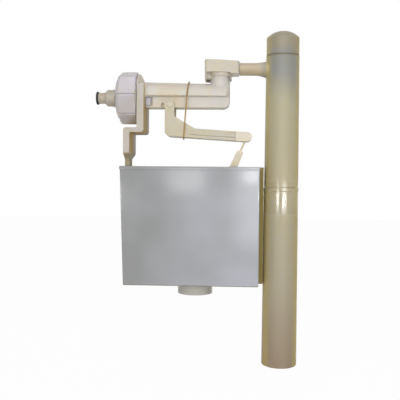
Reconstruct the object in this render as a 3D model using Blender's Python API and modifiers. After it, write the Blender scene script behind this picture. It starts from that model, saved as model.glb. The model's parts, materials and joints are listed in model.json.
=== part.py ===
"""Side-inlet cistern fill valve with a float in its own cup and a silencer pipe.

X runs from the wall inlet to the pipe, Y from front to back and Z up. The origin
is on the inlet's axis, in the plane where the cistern wall is seated. Metres.
"""
import math

import bmesh
import bpy
from mathutils import Matrix, Vector

# Clearances
GAP = 0.0003
PIN_PLAY = 0.0002
LINK_PLAY = 0.0005
LINK_SIDE_PLAY = 0.0006

# Inlet tail and its seal
INLET_BORE_RADIUS = 0.0030
NOZZLE_RADIUS = 0.0055
NOZZLE_LENGTH = 0.0085
TIP_SPIGOT_RADIUS = 0.0044
TIP_SEAL_RADIUS = 0.0065
TIP_SEAL_WIDTH = 0.0022
TAIL_THREAD_RADIUS = 0.0082
TAIL_THREAD_LENGTH = 0.0075
TAIL_COLLAR_RADIUS = 0.0088
TAIL_COLLAR_HALF = 0.0010
TAIL_FLANGE_RADIUS = 0.0186
TAIL_FLANGE_THICK = 0.0030
SEAT_RADIUS = 0.0035
SEAT_ORIFICE_RADIUS = 0.0015
SEAT_CHAMBER_RADIUS = 0.0145
SEAT_CHAMBER_DEPTH = 0.0012
STRAINER_LENGTH = 0.0120
STRAINER_WALL = 0.0006
STRAINER_SLOTS = 4

# Union nut
NUT_SIDES = 8
NUT_CORNER_RADIUS = 0.0265
NUT_FRONT_RADIUS = 0.0125
NUT_FRONT_X = 0.0024
NUT_FRONT_WALL = 0.0038
NUT_DOME_LENGTH = 0.0105
NUT_REAR_CHAMFER = 0.0020
NUT_STEP_X = 0.0110
NUT_SHORT_OF_HEAD = 0.0008
NUT_TURN = math.radians(-2.5)
NUT_CORNER_SOFT = 0.0012

# Diaphragm
DIAPHRAGM_THICK = 0.0020
DIAPHRAGM_CENTRE_RADIUS = 0.0046
DIAPHRAGM_GROOVE_DEPTH = 0.0009

# Valve body
HEAD_RADIUS = 0.0220
HEAD_LENGTH = 0.0125
CONE_RADIUS = 0.0243
CONE_LENGTH = 0.0066
CONE_END_RADIUS = 0.0140
BODY_END_X = 0.1149
TUBE_START_RADIUS = 0.0135
TUBE_END_RADIUS = 0.0124
TUBE_START_Z = 0.0025
TUBE_END_Z = 0.0013
LEDGE_Z = 0.0010
CHAMBER_HALF_WIDTH = 0.0087
CHAMBER_BOTTOM_Z = -0.0102
CHAMBER_CORNER = 0.0062
END_CORNER = 0.0090
CHANNEL_WIDTH = 0.0130
CHANNEL_HEIGHT = 0.0068
CHANNEL_Z = 0.0087
RISER_RADIUS = 0.0097
RISER_BORE_RADIUS = 0.0070
WINDOW_LENGTH = 0.0055
WINDOW_STEP_LENGTH = 0.0070
WINDOW_STEP_DEPTH = 0.0017
WINDOW_WALL = 0.0016
WINDOW_BELOW_LEDGE = 0.0010
NOTCH_WIDTH = 0.0022
NOTCH_DEPTH = 0.0036
NOTCH_TOP_Z = -0.0055
NOSE_SLOT_HALF = 0.0033
NOSE_SLOT_LENGTH = 0.0138
NOSE_SLOT_WALL = 0.0020

# Plunger
PLUNGER_RADIUS = 0.0036
PLUNGER_TRAVEL = 0.0013
PLUNGER_TIP_RADIUS = 0.0015
PLUNGER_TIP_LENGTH = 0.0024
PLUNGER_FOOT_HALF = 0.0078
PLUNGER_EAR_HALF = 0.0083
PLUNGER_EAR_THICK = 0.0010
PLUNGER_EDGE = 0.0004

# Lever
PIVOT_X = 0.0560
PIVOT_Z = -0.0075
PIVOT_PIN_RADIUS = 0.0015
PIVOT_HEAD_RADIUS = 0.0026
PIVOT_HEAD_THICK = 0.0008
CHEEK_THICK = 0.0030
CHEEK_TOP_RADIUS = 0.0050
LEG_LEFT = 0.0047
LEG_RIGHT = 0.0046
FORK_DEPTH = 0.0165
NOSE_HALF_WIDTH = 0.0029
NOSE_LENGTH = 0.0062
NOSE_REACH = 0.0095
NOSE_FRONT_RADIUS = 0.0016
NOSE_BACK_RADIUS = 0.0022
ARM_REACH = 0.0759
ARM_DROP = 0.0308
ARM_THICK = 0.0092
ARM_SLOPE = math.radians(3.6)
ARM_HALF_WIDTH = 0.0090
ARM_END_RADIUS = 0.0050
HEEL_RADIUS = 0.0045
GUSSET_TOP = 0.0112
GUSSET_RUN = 0.0200
GUSSET_TOP_RADIUS = 0.0015
GUSSET_END_RADIUS = 0.0030
ARM_BAND_DEPTH = 0.0005
ARM_BAND_HEIGHT = 0.0029
ARM_HOLLOW_WALL = 0.0020
ARM_HOLLOW_HEIGHT = 0.0046
KNUCKLE_LENGTH = 0.0162
KNUCKLE_STEP = 0.0003

# Link
LINK_LENGTH = 0.0372
LINK_LEAN = math.radians(23.5)
LINK_ROD_RADIUS = 0.0010
LINK_EYE_RADIUS = 0.0024
LINK_PIN_RADIUS = 0.0010
LINK_ROD_IN_CLIP = 0.0116
CLIP_LENGTH = 0.0223
CLIP_TOP_WIDTH = 0.0064
CLIP_LOW_WIDTH = 0.0076
CLIP_DEPTH = 0.0060
CLIP_FORK_LENGTH = 0.0060

# Rubber band
BAND_RADIUS = 0.0007
BAND_BACK_SHIFT = 0.0022
BAND_TOP_X = 0.0745
BAND_BOTTOM_X = 0.0701

# Float hanger
HANGER_THICK = 0.0067
HANGER_HALF_WIDTH = 0.0210
HANGER_FORK_TOP_Z = 0.0120
HANGER_STEP_DROP = 0.0038
HANGER_STEP_THICK = 0.0048
HANGER_STEP_REACH = 0.0132
HANGER_LOWER_THICK = 0.0061
HANGER_LOWER_LENGTH = 0.0252
HANGER_CORNER = 0.0030
HANGER_INNER_CORNER = 0.0010
SHOULDER_OUTER_RADIUS = 0.0020
SHOULDER_INNER_RADIUS = 0.0030
HANGER_SHOULDER = 0.0050
TONGUE_THICK = 0.0044
TONGUE_HALF_WIDTH = 0.0090

# Float
FLOAT_HINGE_DROP = 0.0750
FLOAT_PIN_RADIUS = 0.0011
FLOAT_EAR_RADIUS = 0.0025
FLOAT_EAR_THICK = 0.0026
FLOAT_LUG_HEIGHT = 0.0066
FLOAT_LUG_RADIUS = 0.0028
FLOAT_LUG_HALF_WIDTH = 0.0012
FLOAT_PLATE_THICK = 0.0016
FLOAT_HALF_WIDTH = 0.0200
FLOAT_LEFT_CLEAR = 0.0056
FLOAT_BEYOND_LINK = 0.0130
FLOAT_BELL_HEIGHT = 0.0600
FLOAT_BELL_TAPER = 0.0060
FLOAT_BELL_WALL = 0.0014
FLOAT_RIB_HEIGHT = 0.0030

# Float cup
CUP_RIM_ABOVE_HINGE = 0.0070
CUP_HEIGHT = 0.1155
CUP_HALF_DEPTH = 0.0255
CUP_WALL = 0.0016
CUP_FLOOR = 0.0020
CUP_LEFT_CLEAR = 0.0046
CUP_LEFT_DRAFT = 0.0035
CUP_RIM_HEIGHT = 0.0034
CUP_RIM_PROUD = 0.0004
CUP_EDGE = 0.0012
NECK_RADIUS = 0.0174
NECK_WALL = 0.0016
NECK_DROP = 0.0104
DRAIN_FROM_LEFT = 0.0726
DRAIN_HOLE_RADIUS = 0.0085
SEAT_LIP_HEIGHT = 0.0010
SEAT_LIP_WIDTH = 0.0016

# Drain disc and its cage
DISC_RADIUS = 0.0130
DISC_THICK = 0.0022
DISC_STEM_BELOW_NECK = 0.0002
DISC_STEM_RADIUS = 0.0018
CAGE_THICK = 0.0041
CAGE_RING_WIDTH = 0.0016
CAGE_HUB_RADIUS = 0.0038
CAGE_SPOKES = 4
CAGE_SPOKE_WIDTH = 0.0020

# Silencer pipe and the rail that carries the cup
PIPE_X = 0.1666
PIPE_WALL = 0.0020
PIPE_TOP_RADIUS = 0.0162
PIPE_SEAM_RADIUS = 0.0168
PIPE_BOTTOM_RADIUS = 0.0174
PIPE_ABOVE_BRANCH = 0.0125
PIPE_SEAM_BELOW_RIM = 0.0197
PIPE_BELOW_CUP = 0.0812
PIPE_COLLAR_HEIGHT = 0.0036
PIPE_COLLAR_PROUD = 0.0004
RAIL_DEPTH = 0.0052
RAIL_HEAD_HALF = 0.0042
RAIL_HEAD_THICK = 0.0015
RAIL_WEB_HALF = 0.0012
RAIL_SIDE_WALL = 0.0018
SLEEVE_LENGTH = 0.0240
SLEEVE_WALL = 0.0015
SLEEVE_PLAY = 0.0004

# Cap
CAP_SIDE_HEIGHT = 0.0153
CAP_DOME_HEIGHT = 0.0087
CAP_WALL = 0.0018
CAP_SPIGOT_LENGTH = 0.0080

# Outlet hood and the pipe's branch
BRANCH_Z = 0.0288
BRANCH_RADIUS = 0.0062
BRANCH_WALL = 0.0013
BRANCH_FLARE_RADIUS = 0.0084
BRANCH_FLARE_LENGTH = 0.0120
BRANCH_FLARE_DROP = 0.0008
HOOD_WALL = 0.0015
HOOD_AIR_GAP = 0.0040
HOOD_HALF_DEPTH = 0.0124
HOOD_TOP_Z = 0.0368
HOOD_SKIRT_Z = 0.0176
HOOD_ROOF_Z = 0.0250
HOOD_CORNER = 0.0030
HOOD_SKIRT_CORNER = 0.0100
HOOD_WEB_HALF = 0.0055
HOOD_WEB_RISE = 0.0015
HOOD_COLLAR_DROP = 0.0040
HOOD_COLLAR_WALL = 0.0012
HOOD_CHAMBER_STEP = 0.0015
HOOD_TOP_FALL = 0.0012
HOOD_BOX_LOW_Z = 0.0217
HOOD_END_HALF_DEPTH = 0.0095
HOOD_END_CORNER = 0.0030
HOOD_NECK_LENGTH = 0.0074
HOOD_SPIGOT_LENGTH = 0.0080
HOOD_SPIGOT_WALL = 0.0012
RISER_IN_ROOF = 0.0022
RISER_SEAL_SECTION = 0.0007
RISER_SEAL_BELOW_ROOF = 0.0018

# Smoothness
ROUND_STEPS = 40
SMALL_STEPS = 20
ARC_STEPS = 5
SHARP_ANGLE = math.radians(35)

# Places that follow from the sizes above
TIP_X = -TAIL_THREAD_LENGTH - NOZZLE_LENGTH - TIP_SEAL_WIDTH
TAIL_FLANGE_X = NUT_FRONT_X + NUT_FRONT_WALL + GAP
DIAPHRAGM_X = TAIL_FLANGE_X + TAIL_FLANGE_THICK + GAP
HEAD_X = DIAPHRAGM_X + DIAPHRAGM_THICK + GAP
HEAD_END_X = HEAD_X + HEAD_LENGTH
HANGER_X = HEAD_END_X + GAP
HANGER_END_X = HANGER_X + HANGER_THICK
WINDOW_X = HANGER_END_X + GAP
NOSE_X = PIVOT_X - (LEG_LEFT + 0.0010)
NOSE_SLOT_X = NOSE_X - NOSE_SLOT_WALL
RISER_X = BODY_END_X - RISER_RADIUS
RISER_TOP_Z = HOOD_ROOF_Z + RISER_IN_ROOF
HOOD_RIGHT_X = BODY_END_X + GAP + HOOD_WALL
HOOD_LEFT_X = RISER_X - RISER_RADIUS - HOOD_AIR_GAP - HOOD_WALL
HOOD_NECK_X = HOOD_RIGHT_X + HOOD_NECK_LENGTH
BRANCH_X = HOOD_NECK_X + GAP
PIPE_TOP_Z = BRANCH_Z + PIPE_ABOVE_BRANCH
CHEEK_INNER = CHAMBER_HALF_WIDTH + GAP
CHEEK_OUTER = CHEEK_INNER + CHEEK_THICK
KNUCKLE_HALF_WIDTH = ARM_HALF_WIDTH + KNUCKLE_STEP
PIVOT = Vector((PIVOT_X, 0, PIVOT_Z))
LINK_TOP = PIVOT + Vector((ARM_REACH, 0, -ARM_DROP))
LINK_DOWN = Vector((-math.sin(LINK_LEAN), 0, -math.cos(LINK_LEAN)))
LINK_BOTTOM = LINK_TOP + LINK_LENGTH * LINK_DOWN
CLIP_START = LINK_LENGTH - CLIP_LENGTH
LINK_ROD_LENGTH = CLIP_START + LINK_ROD_IN_CLIP
HANGER_STEP_Z = -NUT_CORNER_RADIUS - HANGER_STEP_DROP
HANGER_LOWER_X = HANGER_X - HANGER_STEP_REACH
HANGER_LOWER_Z = HANGER_STEP_Z - HANGER_LOWER_LENGTH
FLOAT_HINGE = Vector((HANGER_LOWER_X + TONGUE_THICK / 2, 0, -FLOAT_HINGE_DROP))
FLOAT_TOP_Z = LINK_BOTTOM.z - FLOAT_LUG_HEIGHT
FLOAT_LEFT_X = FLOAT_HINGE.x + FLOAT_LEFT_CLEAR
FLOAT_RIGHT_X = LINK_BOTTOM.x + FLOAT_BEYOND_LINK
CUP_TOP_Z = FLOAT_HINGE.z + CUP_RIM_ABOVE_HINGE
CUP_BOTTOM_Z = CUP_TOP_Z - CUP_HEIGHT
CUP_LEFT_X = FLOAT_HINGE.x - CUP_LEFT_CLEAR
CUP_RIGHT_X = PIPE_X - PIPE_BOTTOM_RADIUS - RAIL_DEPTH
DRAIN_X = CUP_LEFT_X + DRAIN_FROM_LEFT
NECK_BOTTOM_Z = CUP_BOTTOM_Z - NECK_DROP
PIPE_SEAM_Z = CUP_TOP_Z - PIPE_SEAM_BELOW_RIM
PIPE_BOTTOM_Z = CUP_BOTTOM_Z - PIPE_BELOW_CUP
CAGE_TOP_Z = NECK_BOTTOM_Z + CAGE_THICK
DISC_BOTTOM_Z = CAGE_TOP_Z + GAP
FAR = 0.4

for old in list(bpy.data.objects):
    bpy.data.objects.remove(old, do_unlink=True)

PARTS = bpy.data.collections.new("fill_valve")
CUTTERS = bpy.data.collections.new("cutters")
for collection in (PARTS, CUTTERS):
    bpy.context.scene.collection.children.link(collection)

CREAM = (0.80, 0.76, 0.66)
MILKY = (0.80, 0.76, 0.62)
LAVENDER = (0.80, 0.78, 0.84)
COOL_GREY = (0.62, 0.65, 0.72)
FOAM = (0.92, 0.92, 0.90)
BLACK_RUBBER = (0.03, 0.03, 0.03)
BAND_BROWN = (0.55, 0.36, 0.16)
STEEL = (0.62, 0.62, 0.60)


def material(name, colour, roughness, metallic=0.0):
    made = bpy.data.materials.get(name)
    if made is None:
        made = bpy.data.materials.new(name)
        made.use_nodes = True
        shader = made.node_tree.nodes["Principled BSDF"]
        shader.inputs["Base Color"].default_value = (*colour, 1.0)
        shader.inputs["Roughness"].default_value = roughness
        shader.inputs["Metallic"].default_value = metallic
        made.diffuse_color = (*colour, 1.0)
    return made


def finish(obj, colour, roughness=0.4, metallic=0.0):
    """Give a part its own material."""
    obj.data.materials.clear()
    obj.data.materials.append(material(obj.name + "_finish", colour, roughness, metallic))
    return obj


def add_object(name, mesh, cutter=False):
    obj = bpy.data.objects.new(name, mesh)
    if cutter:
        CUTTERS.objects.link(obj)
        obj.display_type = "WIRE"
        obj.hide_render = True
    else:
        PARTS.objects.link(obj)
    return obj


def add_bmesh(name, bm, cutter=False):
    mesh = bpy.data.meshes.new(name)
    bm.to_mesh(mesh)
    bm.free()
    mesh.shade_smooth()
    mesh.set_sharp_from_angle(angle=SHARP_ANGLE)
    return add_object(name, mesh, cutter)


def carve(obj, *tools):
    """Cut each tool out of the part."""
    for tool in tools:
        cut = obj.modifiers.new("cut_" + tool.name, "BOOLEAN")
        cut.operation = "DIFFERENCE"
        cut.solver = "EXACT"
        cut.object = tool
    return obj


def fuse(obj, *tools):
    """Mould each tool onto the part."""
    for tool in tools:
        join = obj.modifiers.new("add_" + tool.name, "BOOLEAN")
        join.operation = "UNION"
        join.solver = "EXACT"
        join.object = tool
    return obj


def keep_inside(obj, *tools):
    """Keep what of the part lies inside each tool."""
    for tool in tools:
        trim = obj.modifiers.new("trim_" + tool.name, "BOOLEAN")
        trim.operation = "INTERSECT"
        trim.solver = "EXACT"
        trim.object = tool
    return obj


def box(name, low, high, cutter=False, edge=0.0):
    """A block between two corners, with its edges rounded when edge is given."""
    low, high = Vector(low), Vector(high)
    bm = bmesh.new()
    size = Matrix.Diagonal((high - low).to_4d())
    bmesh.ops.create_cube(bm, size=1.0, matrix=size)
    obj = add_bmesh(name, bm, cutter)
    obj.location = (low + high) / 2
    if edge:
        round_edges = obj.modifiers.new("round_edges", "BEVEL")
        round_edges.width = edge
        round_edges.segments = 2
    return obj


TURN_TO = {
    "X": (0, math.pi / 2, 0),
    "Y": (-math.pi / 2, 0, 0),
    "Z": (0, 0, 0),
}


def turned(name, outer, inner=(), axis="X", centre=(0, 0, 0), cutter=False, steps=ROUND_STEPS):
    """A turned piece: outer and inner hold (distance along the axis, radius), low end first."""
    if inner:
        loop = list(reversed(outer)) + list(inner)
    else:
        loop = [(outer[-1][0], 0.0)] + list(reversed(outer)) + [(outer[0][0], 0.0)]
    bm = bmesh.new()
    verts = [bm.verts.new((radius, 0, along)) for along, radius in loop]
    for first, second in zip(verts, verts[1:]):
        bm.edges.new((first, second))
    if inner:
        bm.edges.new((verts[-1], verts[0]))
    obj = add_bmesh(name, bm, cutter)
    obj.location = centre
    obj.rotation_euler = TURN_TO[axis]
    spin = obj.modifiers.new("spin", "SCREW")
    spin.steps = steps
    spin.render_steps = steps
    spin.use_merge_vertices = True
    spin.merge_threshold = 0.00001
    return obj


def rod(name, start, end, radius, end_radius=None, cutter=False, steps=SMALL_STEPS):
    """A round bar between two points, tapered when the end radius differs."""
    start, end = Vector(start), Vector(end)
    run = end - start
    bm = bmesh.new()
    bmesh.ops.create_cone(
        bm, cap_ends=True, segments=steps, depth=run.length,
        radius1=radius, radius2=radius if end_radius is None else end_radius,
    )
    obj = add_bmesh(name, bm, cutter)
    obj.location = (start + end) / 2
    obj.rotation_mode = "QUATERNION"
    obj.rotation_quaternion = run.to_track_quat("Z", "Y")
    return obj


def round_corners(corners):
    """Turn (x, y, radius) corners into an outline whose corners are arcs."""
    outline = []
    count = len(corners)
    for index, (x, y, radius) in enumerate(corners):
        here = Vector((x, y))
        if not radius:
            outline.append((x, y))
            continue
        back = (Vector(corners[index - 1][:2]) - here).normalized()
        ahead = (Vector(corners[(index + 1) % count][:2]) - here).normalized()
        half = back.angle(ahead) / 2
        reach = radius / math.tan(half)
        centre = here + (back + ahead).normalized() * (radius / math.sin(half))
        first = here + back * reach - centre
        sweep = first.angle_signed(here + ahead * reach - centre)
        for step in range(ARC_STEPS + 1):
            turn = Matrix.Rotation(-sweep * step / ARC_STEPS, 2)
            outline.append(tuple(centre + turn @ first))
    return outline


def arc(centre_x, centre_y, radius, start, end, steps=ARC_STEPS * 2):
    """Points on an arc, with its angles in degrees from +X."""
    points = []
    for step in range(steps + 1):
        angle = math.radians(start + (end - start) * step / steps)
        points.append((centre_x + radius * math.cos(angle), centre_y + radius * math.sin(angle)))
    return points


PLATE_TURN = {
    "X": (math.pi / 2, 0, math.pi / 2),
    "Y": (math.pi / 2, 0, 0),
    "Z": (0, 0, 0),
}


def to_mesh(flat, name, cutter):
    """Turn a curve object into a closed mesh object in the same place."""
    bpy.context.view_layer.update()
    solid = flat.evaluated_get(bpy.context.evaluated_depsgraph_get())
    mesh = bpy.data.meshes.new_from_object(solid)
    mesh.name = name
    bm = bmesh.new()
    bm.from_mesh(mesh)
    bmesh.ops.remove_doubles(bm, verts=bm.verts, dist=0.000001)
    bmesh.ops.recalc_face_normals(bm, faces=bm.faces)
    bm.to_mesh(mesh)
    bm.free()
    mesh.shade_smooth()
    mesh.set_sharp_from_angle(angle=SHARP_ANGLE)
    obj = add_object(name, mesh, cutter)
    obj.matrix_world = flat.matrix_world
    bpy.data.objects.remove(flat, do_unlink=True)
    return obj


def plate(name, outline, normal, low, high, cutter=False):
    """A flat outline given thickness along its normal, from low to high."""
    curve = bpy.data.curves.new(name + "_outline", "CURVE")
    curve.dimensions = "2D"
    curve.fill_mode = "BOTH"
    curve.extrude = (high - low) / 2
    spline = curve.splines.new("POLY")
    spline.points.add(len(outline) - 1)
    for point, (across, up) in zip(spline.points, outline):
        point.co = (across, up, 0, 1)
    spline.use_cyclic_u = True
    flat = bpy.data.objects.new(name + "_outline", curve)
    PARTS.objects.link(flat)
    flat.rotation_euler = PLATE_TURN[normal]
    flat.location["XYZ".index(normal)] = (low + high) / 2
    return to_mesh(flat, name, cutter)


def tube_along(name, points, radius, closed=False, cutter=False):
    """A round wire through the points."""
    curve = bpy.data.curves.new(name + "_path", "CURVE")
    curve.dimensions = "3D"
    curve.bevel_depth = radius
    curve.bevel_resolution = 2
    curve.use_fill_caps = not closed
    spline = curve.splines.new("POLY")
    spline.points.add(len(points) - 1)
    for point, place in zip(spline.points, points):
        point.co = (*place, 1)
    spline.use_cyclic_u = closed
    wire = bpy.data.objects.new(name + "_path", curve)
    PARTS.objects.link(wire)
    return to_mesh(wire, name, cutter)


def axis_empty(name, place):
    """An empty on a joint's axis, for the pieces that turn about it."""
    empty = bpy.data.objects.new(name, None)
    empty.empty_display_size = 0.01
    PARTS.objects.link(empty)
    empty.location = place
    return empty


def hang_on(empty, *pieces):
    bpy.context.view_layer.update()
    for piece in pieces:
        piece.parent = empty
        piece.matrix_parent_inverse = empty.matrix_world.inverted()


def inlet_tail():
    nozzle_x = -TAIL_THREAD_LENGTH - NOZZLE_LENGTH
    flange_end = TAIL_FLANGE_X + TAIL_FLANGE_THICK
    step = TAIL_THREAD_RADIUS - NOZZLE_RADIUS
    strainer_radius = INLET_BORE_RADIUS + STRAINER_WALL
    outer = [
        (TIP_X + GAP, TIP_SPIGOT_RADIUS),
        (nozzle_x, TIP_SPIGOT_RADIUS),
        (nozzle_x, NOZZLE_RADIUS),
        (-TAIL_THREAD_LENGTH - step / 2, NOZZLE_RADIUS),
        (-TAIL_THREAD_LENGTH, TAIL_THREAD_RADIUS),
        (-TAIL_COLLAR_HALF, TAIL_THREAD_RADIUS),
        (-TAIL_COLLAR_HALF, TAIL_COLLAR_RADIUS),
        (TAIL_COLLAR_HALF, TAIL_COLLAR_RADIUS),
        (TAIL_COLLAR_HALF, TAIL_THREAD_RADIUS),
        (TAIL_FLANGE_X, TAIL_THREAD_RADIUS),
        (TAIL_FLANGE_X, TAIL_FLANGE_RADIUS),
        (flange_end, TAIL_FLANGE_RADIUS),
    ]
    inner = [
        (TIP_X + GAP, strainer_radius),
        (TIP_X + GAP + STRAINER_WALL, strainer_radius),
        (TIP_X + GAP + STRAINER_WALL, INLET_BORE_RADIUS),
        (TAIL_FLANGE_X - STRAINER_WALL, INLET_BORE_RADIUS),
        (TAIL_FLANGE_X, SEAT_ORIFICE_RADIUS),
        (flange_end, SEAT_ORIFICE_RADIUS),
        (flange_end, SEAT_RADIUS),
        (flange_end - SEAT_CHAMBER_DEPTH, SEAT_RADIUS),
        (flange_end - SEAT_CHAMBER_DEPTH, SEAT_CHAMBER_RADIUS),
        (flange_end, SEAT_CHAMBER_RADIUS),
    ]
    tail = turned("inlet_tail", outer, inner, steps=ROUND_STEPS * 3 // 4)
    return finish(tail, CREAM, 0.35)


def inlet_strainer():
    """A small slotted basket in the mouth of the nozzle."""
    mouth = TIP_X + GAP
    radius = INLET_BORE_RADIUS - GAP
    outer = [
        (mouth - STRAINER_WALL / 2, INLET_BORE_RADIUS + STRAINER_WALL - GAP),
        (mouth + STRAINER_WALL - GAP, INLET_BORE_RADIUS + STRAINER_WALL - GAP),
        (mouth + STRAINER_WALL - GAP, radius),
        (mouth + STRAINER_LENGTH, radius),
    ]
    inner = [
        (mouth - STRAINER_WALL / 2, radius - STRAINER_WALL),
        (mouth + STRAINER_LENGTH - STRAINER_WALL, radius - STRAINER_WALL),
        (mouth + STRAINER_LENGTH - STRAINER_WALL, radius / 4),
        (mouth + STRAINER_LENGTH, radius / 4),
    ]
    basket = turned("inlet_strainer", outer, inner, steps=SMALL_STEPS)
    for index in range(STRAINER_SLOTS // 2):
        slot = box(
            f"strainer_slot_{index}",
            (mouth + 3 * STRAINER_WALL, -INLET_BORE_RADIUS * 2, -STRAINER_WALL),
            (mouth + STRAINER_LENGTH - 3 * STRAINER_WALL, INLET_BORE_RADIUS * 2, STRAINER_WALL),
            cutter=True,
        )
        slot.rotation_euler.x = math.pi * 2 * index / STRAINER_SLOTS
        carve(basket, slot)
    return finish(basket, LAVENDER, 0.5)


def inlet_seal_ring():
    """The black ring that seals the nozzle in the supply's union."""
    inside = TIP_SPIGOT_RADIUS + GAP
    nozzle_x = -TAIL_THREAD_LENGTH - NOZZLE_LENGTH
    crown = TIP_SEAL_WIDTH / 4
    outer = [
        (TIP_X, TIP_SEAL_RADIUS - crown),
        (TIP_X + crown, TIP_SEAL_RADIUS),
        (nozzle_x - GAP - crown, TIP_SEAL_RADIUS),
        (nozzle_x - GAP, TIP_SEAL_RADIUS - crown),
    ]
    inner = [(TIP_X, inside), (nozzle_x - GAP, inside)]
    return finish(turned("inlet_seal_ring", outer, inner, steps=ROUND_STEPS // 2), BLACK_RUBBER, 0.6)


def union_nut():
    """An octagonal nut with a domed front, threaded over the body's head."""
    rear = HEAD_END_X - NUT_SHORT_OF_HEAD
    bm = bmesh.new()
    turn = Matrix.Rotation(NUT_TURN, 4, "X") @ Matrix.Rotation(math.pi / 2, 4, "Y")
    bmesh.ops.create_cone(
        bm, cap_ends=True, segments=NUT_SIDES, depth=rear - NUT_FRONT_X,
        radius1=NUT_CORNER_RADIUS, radius2=NUT_CORNER_RADIUS, matrix=turn,
    )
    nut = add_bmesh("union_nut", bm)
    nut.location.x = (NUT_FRONT_X + rear) / 2
    corners = nut.modifiers.new("soft_corners", "BEVEL")
    corners.width = NUT_CORNER_SOFT
    corners.segments = 2
    corners.limit_method = "ANGLE"
    corners.angle_limit = math.radians(30)
    full = NUT_CORNER_RADIUS + GAP
    dome = [(NUT_FRONT_X, NUT_FRONT_RADIUS)]
    for step in range(1, ARC_STEPS + 1):
        angle = math.pi / 2 * step / ARC_STEPS
        along = NUT_FRONT_X + NUT_DOME_LENGTH * (1 - math.cos(angle))
        dome.append((along, NUT_FRONT_RADIUS + (full - NUT_FRONT_RADIUS) * math.sin(angle)))
    dome += [(rear - NUT_REAR_CHAMFER, full), (rear, full - NUT_REAR_CHAMFER)]
    keep_inside(nut, turned("nut_dome", dome, cutter=True))
    collar_hole = TAIL_COLLAR_RADIUS + GAP
    front_wall = NUT_FRONT_X + NUT_FRONT_WALL
    bore = [
        (NUT_FRONT_X - 0.01, collar_hole),
        (front_wall, collar_hole),
        (front_wall, TAIL_FLANGE_RADIUS + GAP),
        (NUT_STEP_X, TAIL_FLANGE_RADIUS + GAP),
        (NUT_STEP_X, HEAD_RADIUS + GAP),
        (rear + 0.01, HEAD_RADIUS + GAP),
    ]
    carve(nut, turned("nut_bore", bore, cutter=True))
    return finish(nut, LAVENDER, 0.3)


def channel_cutter(name, start, end):
    """The flat-bottomed water way, an oval bar along X."""
    bm = bmesh.new()
    stretch = Matrix.Diagonal((1, CHANNEL_WIDTH / CHANNEL_HEIGHT, 1, 1))
    turn = Matrix.Rotation(math.pi / 2, 4, "Y")
    bmesh.ops.create_cone(
        bm, cap_ends=True, segments=SMALL_STEPS + 4, depth=end - start,
        radius1=CHANNEL_HEIGHT / 2, radius2=CHANNEL_HEIGHT / 2, matrix=stretch @ turn,
    )
    bar = add_bmesh(name, bm, cutter=True)
    bar.location = ((start + end) / 2, 0, CHANNEL_Z)
    return bar


def diaphragm():
    """The rubber disc that closes the seat, with a port for the water way."""
    end = DIAPHRAGM_X + DIAPHRAGM_THICK
    radius = TAIL_FLANGE_RADIUS - GAP
    groove = DIAPHRAGM_CENTRE_RADIUS
    inner_groove = [
        (end, groove),
        (end - DIAPHRAGM_GROOVE_DEPTH, groove + GAP),
        (end - DIAPHRAGM_GROOVE_DEPTH, groove + 0.0012),
        (end, groove + 0.0015),
    ]
    outer = [(DIAPHRAGM_X, radius), (end, radius)] + list(reversed(inner_groove))
    disc = turned("diaphragm", outer)
    port = channel_cutter("diaphragm_port", DIAPHRAGM_X - 0.002, end + 0.002)
    port.location.z += GAP * 3
    carve(disc, port)
    return finish(disc, BLACK_RUBBER, 0.6)


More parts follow.
